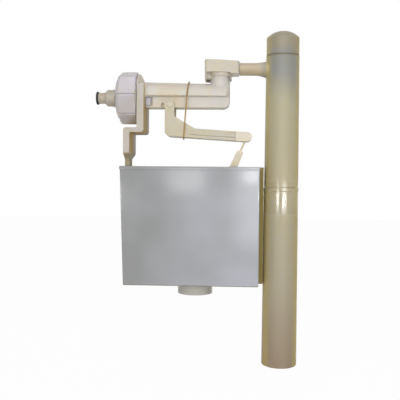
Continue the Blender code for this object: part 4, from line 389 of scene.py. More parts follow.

# %% [markdown]
# The cup is polished: it shows a soft window high on its face. A low roughness does that, and
# a broad, hardly visible waviness in the bump keeps the reflection from looking like glass. Its
# grey is painted light: darker on its left, lighter on its right.
# The channel beside the pipe carries a painted olive-brown shade, so the colour changes there with
# the place along X, and a noise frays the line. The channel is also matt. Painted shade also
# darkens the top of the cup's rim and a band where its floor meets the neck, and the neck itself
# is paler and warmer.

# %% Grey cup finish
# Painted light: the cup's grey is darker towards its left and lighter towards its right.
CUP_GREYS_WITH_PAINTED_LIGHT = [(0.15, srgb(137, 139, 142)), (0.50, srgb(153, 155, 162)), (0.85, srgb(168, 171, 182))]
CUP_ROUGH_LOW, CUP_ROUGH_HIGH = 0.07, 0.13
CUP_WAVES, CUP_WAVE_STRENGTH = 0.3 * MM, 0.30
CHANNEL_MATT = 0.5
NECK_DROP = 10.4 * MM
cup_low, cup_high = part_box("float_cup")
channel_shade_start = cup_high.x - 4.6 * MM
channel_shade_end = channel_shade_start + 0.6 * MM
cup_bottom = cup_low.z + NECK_DROP
# The channel's brown, the rim's dark top and the dark band above the neck are painted shade; the paler neck
# is the cup's own colour.
CUP_STAINS_AND_SHADE = [
    ("X", channel_shade_start, channel_shade_end, srgb(126, 110, 48)),
    ("Z", cup_high.z - 0.5 * MM, cup_high.z - 0.1 * MM, srgb(150, 146, 126)),
    ("Z", cup_bottom + 1.2 * MM, cup_bottom + 0.6 * MM, srgb(124, 122, 106)),
    ("Z", cup_bottom - 0.2 * MM, cup_bottom - 0.8 * MM, srgb(172, 170, 166)),
]


def cup_grey():
    finish, tree, shader, place = blank_finish("blue_grey_cup")
    along = coordinate_on(tree, place, "X")
    # Painted light: darker towards the cup's left, lighter towards its right.
    across = range_on(tree, along, 0.2, 0.8, cup_low.x, cup_high.x)
    drift = range_on(tree, noise_on(tree, place, 16), -0.2, 0.2)
    colour = ramp_on(tree, sum_on(tree, across, drift), CUP_GREYS_WITH_PAINTED_LIGHT)
    for stain_or_shade in CUP_STAINS_AND_SHADE:
        colour = stain_and_shade_on(tree, place, colour, stain_or_shade)
    tree.links.new(colour, shader.inputs["Base Color"])
    smears = noise_on(tree, place, 45, 4.0, 0.6)
    matt = range_on(tree, along, 0.0, CHANNEL_MATT, channel_shade_start, channel_shade_end)
    rough = sum_on(tree, range_on(tree, smears, CUP_ROUGH_LOW, CUP_ROUGH_HIGH), matt)
    tree.links.new(rough, shader.inputs["Roughness"])
    bump_on(tree, shader, noise_on(tree, place, 26, 1.0), CUP_WAVES, CUP_WAVE_STRENGTH)
    shader.inputs["IOR"].default_value = CUP_IOR
    return finish


cup_finish = cup_grey()
print(cup_finish.name)

# %% [markdown]
# The rest is small: black rubber with a dull skin, a tan rubber band with darker and lighter
# stretches, and steel pins with fine turning marks across them.

# %% Rubber and steel finishes
RUBBER_BUMP = 0.05 * MM


def rubber(name, dark, light, roughness, spread):
    finish, tree, shader, place = blank_finish(name)
    slow = noise_on(tree, place, spread, 3.0)
    tree.links.new(ramp_on(tree, slow, [(0.35, dark), (0.65, light)]), shader.inputs["Base Color"])
    tree.links.new(range_on(tree, slow, roughness - 0.06, roughness + 0.06), shader.inputs["Roughness"])
    bump_on(tree, shader, noise_on(tree, place, 1500), RUBBER_BUMP)
    return finish


def steel_finish():
    finish, tree, shader, place = blank_finish("turned_steel")
    marks = noise_on(tree, place, 900, 2.0, 0.5, (1, 0.1, 1))
    shade = ramp_on(tree, marks, [(0.3, srgb(150, 148, 143)), (0.7, srgb(196, 194, 188))])
    tree.links.new(shade, shader.inputs["Base Color"])
    tree.links.new(range_on(tree, marks, 0.24, 0.40), shader.inputs["Roughness"])
    shader.inputs["Metallic"].default_value = 1.0
    return finish


black_rubber = rubber("black_rubber", srgb(22, 22, 21), srgb(42, 41, 38), 0.55, 400)
band_rubber = rubber("tan_band_rubber", srgb(138, 110, 58), srgb(172, 142, 86), 0.45, 260)
steel = steel_finish()
print(black_rubber.name, band_rubber.name, steel.name)

# %% [markdown]
# A few helpers carry the modelling. One makes an object from a bmesh. Some join or cut pieces with
# an exact boolean and keep only the mesh that results. The last one seats a finished piece: it
# rides on its body, takes its finish, and stands for the solids that it covers.

# %% Helpers for pieces
SHARP_EDGE = math.radians(32)
scene_objects = bpy.context.scene.collection.objects


def make_object(name, bm):
    bmesh.ops.recalc_face_normals(bm, faces=bm.faces)
    mesh = bpy.data.meshes.new(name)
    bm.to_mesh(mesh)
    bm.free()
    piece = bpy.data.objects.new(name, mesh)
    scene_objects.link(piece)
    return piece


def evaluated_mesh(piece):
    bpy.context.view_layer.update()
    return bpy.data.meshes.new_from_object(piece.evaluated_get(bpy.context.evaluated_depsgraph_get()))


def keep_result(piece):
    """Apply the piece's modifiers by keeping the mesh that they give."""
    mesh = evaluated_mesh(piece)
    piece.modifiers.clear()
    piece.data = mesh
    return piece


def shape_with(piece, how, *tools):
    for tool in tools:
        step = piece.modifiers.new("shape", "BOOLEAN")
        step.operation = how
        step.solver = "EXACT"
        step.object = tool
    keep_result(piece)
    for tool in tools:
        bpy.data.objects.remove(tool, do_unlink=True)
    return piece


def join(piece, *tools):
    return shape_with(piece, "UNION", *tools)


def cut(piece, *tools):
    return shape_with(piece, "DIFFERENCE", *tools)


def seat(piece, body, slot, finish, *stands_for, crisp=SHARP_EDGE):
    """Shade the piece, put it on its body, and let it stand for its solids."""
    mesh = piece.data
    mesh.shade_smooth()
    mesh.set_sharp_from_angle(angle=crisp)
    shading = piece.modifiers.new("flat_faces", "WEIGHTED_NORMAL")
    shading.keep_sharp = True
    mesh.materials.clear()
    mesh.materials.append(finish)
    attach(piece, body)
    if stands_for:
        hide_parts(*stands_for)
    size = [round(length / MM, 1) for length in piece.dimensions]
    print(f"{piece.name}: {len(mesh.polygons)} faces, {size} mm on {body}")
    return piece


# %% [markdown]
# Two shapes do most of the work. A turned piece is half a profile, spun once round its axis. The
# profile is a chain of corners, and each corner is rounded before the spin by a vertex bevel,
# which is how a drawing gives a radius. A slab is an outline with rounded corners, extruded, with
# its rims bevelled, which is how most flat mouldings are drawn. Tools that only cut reach well past
# the piece, and where two faces would lie in one plane they are set a hair apart, because a boolean
# is surest when no faces coincide.

# %% Turned pieces and slabs
FULL_TURN = 2 * math.pi
ROUND = 96
TIGHT, SOFT, ROUNDED = 0.2 * MM, 0.3 * MM, 0.6 * MM
FAR, PAST, HAIR = 60 * MM, 5 * MM, 0.01 * MM
SAME_PLACE = 0.001 * MM
CORNER_ANGLE = math.radians(40)


def add_chain(bm, corners, place, closed):
    """Corners are (first, second, softness): how far the rounding reaches along each edge."""
    verts = [bm.verts.new(place(first, second)) for first, second, soft in corners]
    for pair in zip(verts, verts[1:]):
        bm.edges.new(pair)
    if closed:
        bm.edges.new((verts[-1], verts[0]))
    for vert, (first, second, soft) in zip(verts, corners):
        if soft:
            bmesh.ops.bevel(
                bm, geom=[vert], offset=soft, offset_type="OFFSET", affect="VERTICES",
                segments=5, profile=0.5, clamp_overlap=True, material=-1,
            )


def turned(name, corners, axis="X", centre=(0, 0, 0), steps=ROUND, closed=True):
    """Spin corners of (distance along the axis, radius, softness) round the axis through the centre."""
    centre = Vector(centre)
    along_axis = Vector([letter == axis for letter in "XYZ"])
    out = Vector((0, 0, 1)) if axis != "Z" else Vector((1, 0, 0))
    bm = bmesh.new()
    add_chain(bm, corners, lambda along, radius: centre + along_axis * along + out * radius, closed)
    bmesh.ops.spin(
        bm, geom=bm.verts[:] + bm.edges[:], cent=centre, axis=along_axis, dvec=(0, 0, 0),
        angle=FULL_TURN, steps=steps, use_merge=True, use_duplicate=False,
    )
    bmesh.ops.remove_doubles(bm, verts=bm.verts, dist=SAME_PLACE)
    return make_object(name, bm)


print("turned pieces have", ROUND, "steps round")

# %% [markdown]
# Rods and blocks are Blender's own cone and cube, placed by their ends or by two corners. Some are
# bodies, but most are tools that bore a hole or take a slice away.

# %% Rods, holes and blocks


def rod(name, start, end, radius, end_radius=None, steps=ROUND // 2):
    """A round bar between two points, made from Blender's own cone."""
    start, end = Vector(start), Vector(end)
    run = end - start
    bm = bmesh.new()
    turn = run.to_track_quat("Z", "Y").to_matrix().to_4x4()
    bmesh.ops.create_cone(
        bm, cap_ends=True, segments=steps, depth=run.length, radius1=radius,
        radius2=radius if end_radius is None else end_radius,
        matrix=Matrix.Translation((start + end) / 2) @ turn,
    )
    return make_object(name, bm)


def through_hole(name, place, radius, steps=ROUND // 2):
    """A long round tool along Y, for a hole through this place."""
    return rod(name, place - Vector((0, FAR, 0)), place + Vector((0, FAR, 0)), radius, steps=steps)


def on_side(side, near, away=FAR):
    """The two Y of a slice between two distances from the middle, on one side, lower first."""
    return sorted((side * near, side * away))


def block(name, low, high, edge=0.0, segments=3):
    low, high = Vector(low), Vector(high)
    bm = bmesh.new()
    size = Matrix.Diagonal((high - low).to_4d())
    bmesh.ops.create_cube(bm, matrix=Matrix.Translation((low + high) / 2) @ size)
    if edge:
        soften(bm, bm.edges[:], edge, segments)
    return make_object(name, bm)


def soften(bm, edges, width, segments=3):
    bmesh.ops.bevel(
        bm, geom=edges, offset=width, offset_type="OFFSET", affect="EDGES", segments=segments,
        profile=0.5, clamp_overlap=True, material=-1,
    )


def sharp_edges(bm):
    inner = [edge for edge in bm.edges if len(edge.link_faces) == 2]
    return [edge for edge in inner if edge.calc_face_angle() > CORNER_ANGLE]


print("rods reach", round(FAR / MM), "mm where they only cut")

# %% [markdown]
# A slab's outline lies in one of three planes, so a small table says how its two numbers and the
# level along the third axis become a point. The outline is filled, extruded and bevelled.

# %% Slabs
SLAB_PLACE = {
    "X": lambda first, second, level: Vector((level, first, second)),
    "Y": lambda first, second, level: Vector((first, level, second)),
    "Z": lambda first, second, level: Vector((first, second, level)),
}


def slab_mesh(corners, normal, low, high, rim=0.0, segments=3):
    place = SLAB_PLACE[normal]
    bm = bmesh.new()
    add_chain(bm, corners, lambda first, second: place(first, second, low), True)
    bmesh.ops.contextual_create(bm, geom=bm.edges[:])
    grown = bmesh.ops.extrude_face_region(bm, geom=bm.faces[:])["geom"]
    far_side = [item for item in grown if isinstance(item, bmesh.types.BMVert)]
    bmesh.ops.translate(bm, verts=far_side, vec=place(0, 0, high - low))
    bmesh.ops.recalc_face_normals(bm, faces=bm.faces)
    if rim:
        soften(bm, sharp_edges(bm), rim, segments)
    return bm


def slab(name, corners, normal, low, high, rim=0.0, segments=3):
    return make_object(name, slab_mesh(corners, normal, low, high, rim, segments))


print("slabs can face", ", ".join(SLAB_PLACE))

# %% [markdown]
# The inlet tail is a turned piece: a thin spigot for the black ring, the nozzle, a rounded
# shoulder up to the part that passes through the cistern's wall, and inside the nut a wide
# flange with the seat for the rubber disc. Its bore is part of the same closed profile.

# %% Inlet tail
GAP = 0.3 * MM
tail_low, tail_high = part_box("inlet_tail")
NOZZLE_END = -16.0 * MM
SHOULDER_X = -7.5 * MM
SPIGOT_RADIUS, NOZZLE_RADIUS, TAIL_RADIUS = 4.4 * MM, 5.5 * MM, 8.2 * MM
COLLAR_RADIUS, COLLAR_HALF = 8.8 * MM, 1.0 * MM
TAIL_BORE, ORIFICE, SEAT_LIP = 3.0 * MM, 1.5 * MM, 3.5 * MM
FLANGE_RADIUS = tail_high.z
FLANGE_X = tail_high.x - 3.0 * MM
POCKET_RADIUS, POCKET_DEPTH = 14.5 * MM, 1.2 * MM
STRAINER_LIP = 0.6 * MM

inlet = turned("inlet_nozzle", [
    (tail_low.x, TAIL_BORE + STRAINER_LIP, 0), (tail_low.x, SPIGOT_RADIUS, TIGHT),
    (NOZZLE_END, SPIGOT_RADIUS, 0), (NOZZLE_END, NOZZLE_RADIUS, SOFT),
    (SHOULDER_X - 2.0 * MM, NOZZLE_RADIUS, ROUNDED), (SHOULDER_X, TAIL_RADIUS, 1.4 * MM),
    (-COLLAR_HALF, TAIL_RADIUS, 0), (-COLLAR_HALF, COLLAR_RADIUS, TIGHT),
    (COLLAR_HALF, COLLAR_RADIUS, TIGHT), (COLLAR_HALF, TAIL_RADIUS, 0),
    (FLANGE_X, TAIL_RADIUS, 0), (FLANGE_X, FLANGE_RADIUS, SOFT),
    (tail_high.x, FLANGE_RADIUS, SOFT), (tail_high.x, POCKET_RADIUS, 0),
    (tail_high.x - POCKET_DEPTH, POCKET_RADIUS, 0), (tail_high.x - POCKET_DEPTH, SEAT_LIP, 0),
    (tail_high.x, SEAT_LIP, SOFT), (tail_high.x, ORIFICE, 0),
    (FLANGE_X, ORIFICE, 0), (FLANGE_X - STRAINER_LIP, TAIL_BORE, 0),
    (tail_low.x + STRAINER_LIP, TAIL_BORE, 0),
    (tail_low.x + STRAINER_LIP, TAIL_BORE + STRAINER_LIP, 0),
])
seat(inlet, "valve", "cream_plastic", grey_acetal, "inlet_tail")

# %% [markdown]
# A black rubber ring sits on the nozzle's spigot and seals it in the supply pipe. It is turned
# too, with softer corners outside than inside, because its outer edges are what wears.

# %% Black seal ring
ring_low, ring_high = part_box("inlet_seal_ring")
RING_INSIDE = SPIGOT_RADIUS + GAP
seal = turned("nozzle_seal", [
    (ring_low.x, RING_INSIDE, TIGHT), (ring_low.x, ring_high.z, 0.7 * MM),
    (ring_high.x, ring_high.z, 0.7 * MM), (ring_high.x, RING_INSIDE, TIGHT),
], steps=72)
seat(seal, "valve", "black_rubber", black_rubber, "inlet_seal_ring")

# %% [markdown]
# The union nut has a round domed front and behind it, one step up, eight flats with a thin groove
# where two of them meet. So the nut starts as one octagonal ring with grooved corners, and the
# ring is extruded station by station along the axis. Each station gives the distance from the front
# and a radius in millimetres, and says whether the ring is a circle there (0) or the octagon (1).
# Then the same ring goes back through the bore, and the last one is bridged to the first.

# %% Union nut
NUT_SIDES = 8
NUT_CORNER_RADIUS = 26.5 * MM
NUT_TURN = math.radians(-2.5)
NUT_ARRIS = 1.7 * MM
NUT_GROOVE = 1.8 * MM
GROOVE_REACH, GROOVE_MIDDLE, GROOVE_SHOULDER = NUT_ARRIS / 12, NUT_ARRIS / 60, 0.15
NUT_BACK_EDGE, NUT_BACK_SOFT, NUT_BACK_DROP = 1.6 * MM, 0.6 * MM, 0.4 * MM
NUT_BACK_CHAMFER = 1.4 * MM
NUT_MOUTH_RADIUS = 12.5 * MM
NUT_FRONT_WALL, NUT_STEP_X = 3.8 * MM, 11.0 * MM
HEAD_RADIUS = 22.0 * MM
FLAT_CUTS = 11
NUT_STATIONS = [
    (0.2, 14.8, 0), (0.6, 17.0, 0), (1.2, 18.8, 0), (1.9, 20.2, 0), (2.7, 21.2, 0),
    (3.0, 22.9, 1), (3.4, 24.0, 1), (4.1, 25.2, 1), (5.0, 26.0, 1), (6.2, 26.5, 1),
]
nut_low, nut_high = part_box("union_nut")


def nut_ring():
    """The octagon, with its corners rounded and then pressed in to a groove."""
    bm = bmesh.new()
    turn = Matrix.Rotation(NUT_TURN, 4, "X") @ Matrix.Rotation(math.pi / 2, 4, "Y")
    bmesh.ops.create_circle(
        bm, cap_ends=False, radius=NUT_CORNER_RADIUS, segments=NUT_SIDES, matrix=turn,
    )
    bmesh.ops.bevel(
        bm, geom=bm.verts[:], offset=NUT_ARRIS, offset_type="OFFSET", affect="VERTICES", segments=4,
        profile=0.5, clamp_overlap=True, material=-1,
    )
    furthest = max(vert.co.length for vert in bm.verts)
    for vert in bm.verts:
        short = furthest - vert.co.length
        if short < GROOVE_REACH:
            share = 1 if short < GROOVE_MIDDLE else GROOVE_SHOULDER
            vert.co *= 1 - NUT_GROOVE * share / furthest
    flats = [edge for edge in bm.edges if edge.calc_length() > 5 * NUT_ARRIS]
    bmesh.ops.subdivide_edges(bm, edges=flats, cuts=FLAT_CUTS)
    return bm


print("nut has", NUT_SIDES, "sides and", len(NUT_STATIONS), "stations in its front")

# %% Union nut: the ring extruded to a shell


def extend_ring(bm, ring, x, radius_at):
    """Extrude the ring to this x, with the radius that belongs to each direction."""
    grown = bmesh.ops.extrude_edge_only(bm, edges=ring)["geom"]
    for vert in (item for item in grown if isinstance(item, bmesh.types.BMVert)):
        across = Vector((0, vert.co.y, vert.co.z)).normalized()
        vert.co = Vector((x, 0, 0)) + across * radius_at(across)
    return [item for item in grown if isinstance(item, bmesh.types.BMEdge)]


def union_nut_shell():
    bm = nut_ring()
    outline = [(vert.co.normalized(), vert.co.length) for vert in bm.verts]

    def shaped(limit, has_flats):
        """A circle of this radius, or the octagon drawn in to it."""
        def radius_at(across):
            nearest = max(outline, key=lambda point: point[0].dot(across))
            return nearest[1] * limit / NUT_CORNER_RADIUS if has_flats else limit
        return radius_at

    first = bm.edges[:]
    for vert in bm.verts:
        vert.co = Vector((nut_low.x, 0, 0)) + vert.co.normalized() * NUT_MOUTH_RADIUS
    stations = [(nut_low.x + away * MM, limit * MM, flats) for away, limit, flats in NUT_STATIONS]
    stations += [
        (nut_high.x - NUT_BACK_EDGE, NUT_CORNER_RADIUS, 1),
        (nut_high.x - NUT_BACK_SOFT, NUT_CORNER_RADIUS - NUT_BACK_DROP, 1),
        (nut_high.x, NUT_CORNER_RADIUS - NUT_BACK_CHAMFER, 1),
    ]
    ring = first
    for x, limit, has_flats in stations:
        ring = extend_ring(bm, ring, x, shaped(limit, has_flats))
    head_hole, flange_hole = HEAD_RADIUS + GAP, FLANGE_RADIUS + GAP
    collar_hole = COLLAR_RADIUS + GAP
    wall_x = nut_low.x + NUT_FRONT_WALL
    for x, radius in (
        (nut_high.x, head_hole), (NUT_STEP_X, head_hole), (NUT_STEP_X, flange_hole),
        (wall_x, flange_hole), (wall_x, collar_hole), (nut_low.x, collar_hole),
    ):
        ring = extend_ring(bm, ring, x, lambda across, radius=radius: radius)
    bmesh.ops.bridge_loops(bm, edges=first + ring)
    return make_object("nut_shell", bm)


seat(union_nut_shell(), "valve", "nut_plastic", nut_acetal, "union_nut")

# %% [markdown]
# The valve body is one moulding: a head inside the nut, a cone behind it, the round water way
# with its riser, and the flat-sided plunger chamber beneath. A mould maker blends all of these
# with small fillets. So the body is first put together from plain solids with exact booleans,
# then a voxel remesh turns it into one even skin, and a few passes of smoothing round every
# inner and outer corner by about a millimetre, as the mould does.

# %% Valve body: the blank
body_low, body_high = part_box("valve_body")
hanger_low, hanger_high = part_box("float_hanger")
hood_low, hood_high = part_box("outlet_hood")
BODY_END = body_high.x
HEAD_END = nut_high.x + 0.8 * MM
SIDE_START = hanger_high.x + GAP
TUBE_START_RADIUS, TUBE_END_RADIUS = 13.5 * MM, 12.4 * MM
TUBE_START_Z, TUBE_END_Z = 2.5 * MM, 1.3 * MM
CONE_RADIUS, CONE_LENGTH, CONE_FOOT = 24.3 * MM, 6.6 * MM, 14.0 * MM
TUBE_INSIDE, TUBE_PAST, CHAMBER_PAST = 4 * MM, 4 * MM, 5 * MM
LEDGE_Z = 1.0 * MM
CHAMBER_HALF, CHAMBER_LOW = 8.7 * MM, -10.2 * MM
CHAMBER_CORNER, END_CORNER = 6.2 * MM, 9.0 * MM
RISER_RADIUS, RISER_BORE = 9.7 * MM, 7.0 * MM
RISER_X = BODY_END - RISER_RADIUS


def body_blank():
    head = turned("body_moulding", [
        (body_low.x, 0, 0), (body_low.x, HEAD_RADIUS, 0.4 * MM), (HEAD_END, HEAD_RADIUS, 0),
        (HEAD_END, CONE_RADIUS, 0.8 * MM),
        (HEAD_END + CONE_LENGTH * 0.30, CONE_RADIUS - 1.2 * MM, ROUNDED),
        (HEAD_END + CONE_LENGTH * 0.55, CONE_RADIUS - 4.8 * MM, 1.2 * MM),
        (HEAD_END + CONE_LENGTH, CONE_FOOT, 0), (HEAD_END + CONE_LENGTH, 0, 0),
    ], closed=False)
    cut(head, block(
        "fork_space", (HEAD_END - GAP, -FAR, -FAR), (SIDE_START, FAR, hanger_high.z + GAP),
    ))
    tube = rod(
        "tube", (HEAD_END - TUBE_INSIDE, 0, TUBE_START_Z), (BODY_END + TUBE_PAST, 0, TUBE_END_Z),
        TUBE_START_RADIUS, TUBE_END_RADIUS, steps=ROUND,
    )
    for side in (-1, 1):
        near, away = on_side(side, CHAMBER_HALF - GAP)
        cut(tube, block("ledge", (SIDE_START, near, -FAR), (BODY_END + FAR, away, LEDGE_Z)))
    chamber = block(
        "chamber", (SIDE_START, -CHAMBER_HALF, CHAMBER_LOW - 1 * MM),
        (BODY_END + CHAMBER_PAST, CHAMBER_HALF, TUBE_START_Z),
    )
    riser = rod(
        "riser", (RISER_X, 0, TUBE_END_Z), (RISER_X, 0, body_high.z), RISER_RADIUS - 3 * HAIR,
        steps=ROUND,
    )
    join(head, tube, chamber)
    view_x = SIDE_START - GAP / 2
    side_view = slab("side_view", [
        (0, FAR, 0), (0, -FAR, 0), (view_x, -FAR, 0), (view_x, CHAMBER_LOW, 0),
        (BODY_END, CHAMBER_LOW, CHAMBER_CORNER), (BODY_END, FAR, 0),
    ], "Y", -FAR, FAR)
    top_half = TUBE_START_RADIUS + GAP
    view_x = SIDE_START - GAP
    top_view = slab("top_view", [
        (0, -FAR, 0), (view_x, -FAR, 0), (view_x, -top_half, 0), (BODY_END, -top_half, END_CORNER),
        (BODY_END, top_half, END_CORNER), (view_x, top_half, 0), (view_x, FAR, 0), (0, FAR, 0),
    ], "Z", -FAR, FAR)
    shape_with(head, "INTERSECT", side_view, top_view)
    return join(head, riser)


moulding = body_blank()
print("blank:", len(moulding.data.polygons), "faces")

# %% [markdown]
# The openings come next: the water way up into the riser, the plunger's bore, the slot for the
# lever's nose, the pin hole, and the windows at the plunger's foot with a small blind notch beside
# them. Each is a plain tool, and the tools are cut out in turn while the faces are still flat.

# %% Valve body: its openings
CHANNEL_Z, CHANNEL_HEIGHT, CHANNEL_WIDTH = 8.7 * MM, 6.8 * MM, 13.0 * MM
PLUNGER_BORE = 3.9 * MM
WINDOW_LENGTH, WINDOW_STEP_LENGTH = 5.5 * MM, 7.0 * MM
WINDOW_STEP_DEPTH, WINDOW_WALL = 1.1 * MM, 1.6 * MM
NOTCH_WIDTH, NOTCH_DEPTH, NOTCH_TOP = 2.2 * MM, 3.6 * MM, -5.5 * MM
NOSE_SLOT_HALF, NOSE_SLOT_LENGTH = 3.3 * MM, 13.8 * MM
PIN_HOLE = 1.7 * MM
WINDOW_TOP = LEDGE_Z - 1.05 * MM
BORE_PAST = 4 * MM
pivot = joint_at["lever_pivot"]
NOSE_SLOT_X = pivot.x - 7.7 * MM


def body_openings(piece):
    start = body_low.x - BORE_PAST
    channel = rod("channel", (start, 0, 0), (RISER_X + RISER_BORE * 0.6, 0, 0), CHANNEL_HEIGHT / 2)
    widen = Matrix.Diagonal((1, CHANNEL_WIDTH / CHANNEL_HEIGHT, 1, 1))
    channel.data.transform(Matrix.Translation((0, 0, CHANNEL_Z)) @ widen)
    riser_bore = rod("riser_bore", (RISER_X, 0, CHANNEL_Z), (RISER_X, 0, FAR), RISER_BORE)
    plunger_bore = rod(
        "plunger_bore", (start, 0, 0), (NOSE_SLOT_X + NOSE_SLOT_LENGTH / 2, 0, 0), PLUNGER_BORE,
    )
    nose_slot = block(
        "nose_slot", (NOSE_SLOT_X, -NOSE_SLOT_HALF, -FAR),
        (NOSE_SLOT_X + NOSE_SLOT_LENGTH, NOSE_SLOT_HALF, PLUNGER_BORE - GAP),
    )
    pin_hole = through_hole("pin_hole", pivot, PIN_HOLE)
    cut(piece, channel, riser_bore, plunger_bore, nose_slot, pin_hole)
    window = block(
        "window", (SIDE_START - GAP / 2, -FAR, CHAMBER_LOW + WINDOW_WALL),
        (SIDE_START + WINDOW_LENGTH, FAR, WINDOW_TOP),
    )
    for side in (-1, 1):
        near, away = on_side(side, CHAMBER_HALF - NOTCH_DEPTH)
        cut(piece, block(
            "notch", (NOSE_SLOT_X - NOTCH_WIDTH / 3, near, CHAMBER_LOW - FAR / 8),
            (NOSE_SLOT_X + NOTCH_WIDTH * 2 / 3, away, NOTCH_TOP),
        ))
        near, away = on_side(side, CHAMBER_HALF - WINDOW_STEP_DEPTH)
        cut(piece, block(
            "window_step", (SIDE_START + GAP, near, CHAMBER_LOW + WINDOW_WALL + 2 * HAIR),
            (SIDE_START + WINDOW_STEP_LENGTH, away, WINDOW_TOP - 2 * HAIR),
        ))
    return cut(piece, window)


body_openings(moulding)
print("with openings:", len(moulding.data.polygons), "faces")

# %% [markdown]
# Now the blank gets its skin. The voxels are half a millimetre, fine enough for the windows, and
# four passes of smoothing give the moulding's radius without closing the gap round the plunger.
# On the real body the riser is whiter than the neck, so the finish has a stain that ends there.

# %% Valve body: one moulded skin
BODY_VOXEL, BODY_PASSES = 0.50 * MM, 4
BODY_SHARP_EDGE = math.radians(75)
RISER_WHITE, RISER_FADE = srgb(200, 197, 193), 3 * MM
riser_left = RISER_X - RISER_RADIUS


def moulded_skin(piece, voxel, passes):
    """Remesh the piece to an even skin, then round its corners by smoothing."""
    skin = piece.modifiers.new("skin", "REMESH")
    skin.mode = "VOXEL"
    skin.voxel_size = voxel
    keep_result(piece)
    bm = bmesh.new()
    bm.from_mesh(piece.data)
    for _ in range(passes):
        bmesh.ops.smooth_vert(
            bm, verts=bm.verts, factor=0.5, use_axis_x=True, use_axis_y=True, use_axis_z=True,
        )
    bm.to_mesh(piece.data)
    bm.free()
    return piece


moulded_skin(moulding, BODY_VOXEL, BODY_PASSES)
body_acetal = moulded("body_acetal", *BEIGE_ACETAL, stains_and_shades=[
    ("X", riser_left - RISER_FADE, riser_left + RISER_FADE, RISER_WHITE),
])
seat(moulding, "valve", "cream_plastic", body_acetal, "valve_body", crisp=BODY_SHARP_EDGE)

# %% [markdown]
# Inside the chamber slides the plunger, a pin with a foot. Only the foot's two ears are seen, in
# the windows beside the strap, where they keep the pin from turning. They are small blocks with
# bevelled edges, and the pin is turned.

# %% Plunger
EAR_THICK, EAR_EDGE, EAR_FACE, EAR_ROOM = 0.55 * MM, 0.2 * MM, 8.5 * MM, 0.45 * MM
PLUNGER_TIP, PLUNGER_TIP_LENGTH = 1.5 * MM, 2.4 * MM
PLUNGER_ROOM = 1.3 * MM + GAP
plunger_low, plunger_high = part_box("plunger")


def guided_plunger():
    radius, tip_x = plunger_high.z, plunger_high.x
    foot_x = SIDE_START + GAP
    foot_high = LEDGE_Z - 1 * MM - GAP
    pin = turned("plunger_pin", [
        (plunger_low.x, 0, 0), (plunger_low.x, radius, SOFT),
        (tip_x - PLUNGER_TIP_LENGTH, radius, SOFT),
        (tip_x - PLUNGER_TIP_LENGTH, PLUNGER_TIP, 0), (tip_x, PLUNGER_TIP, SOFT), (tip_x, 0, 0),
    ], steps=48, closed=False)
    half = plunger_high.y - EAR_EDGE
    foot = block(
        "foot", (foot_x + 2 * GAP, -half, plunger_low.z + 2 * GAP),
        (SIDE_START + WINDOW_LENGTH - PLUNGER_ROOM - EAR_ROOM, half, foot_high - 2 * GAP),
    )
    join(pin, foot)
    for side in (-1, 1):
        near, away = on_side(side, EAR_FACE - EAR_THICK, EAR_FACE)
        join(pin, block(
            "ear", (foot_x, near, plunger_low.z + GAP / 2),
            (SIDE_START + WINDOW_STEP_LENGTH - PLUNGER_ROOM - EAR_ROOM, away, foot_high - GAP / 2), EAR_EDGE,
        ))
    return pin


seat(guided_plunger(), "plunger", "nut_plastic", nut_acetal, "plunger")

# %% [markdown]
# The hanger is a strap bent twice. Seen from the side it is an outline with rounded bends, seen
# from the front it narrows to a tongue that carries the float's hinge. A slab of the side view,
# kept inside a slab of the front view, gives both at once. The fork that grips the body's neck is
# a round-bottomed notch, and every edge is then bevelled.

# %% Float hanger
STRAP_STEP_Z, STRAP_STEP_THICK = -30.3 * MM, 4.8 * MM
STRAP_LOWER_THICK = 6.1 * MM
STRAP_BEND, STRAP_INNER_BEND = 3.0 * MM, 1.0 * MM
TONGUE_THICK, TONGUE_HALF, TONGUE_SHOULDER = 4.4 * MM, 9.0 * MM, 5.0 * MM
STRAP_EDGE, HINGE_HOLE = 0.45 * MM, 1.3 * MM
strap_x = nut_high.x + 1.1 * MM


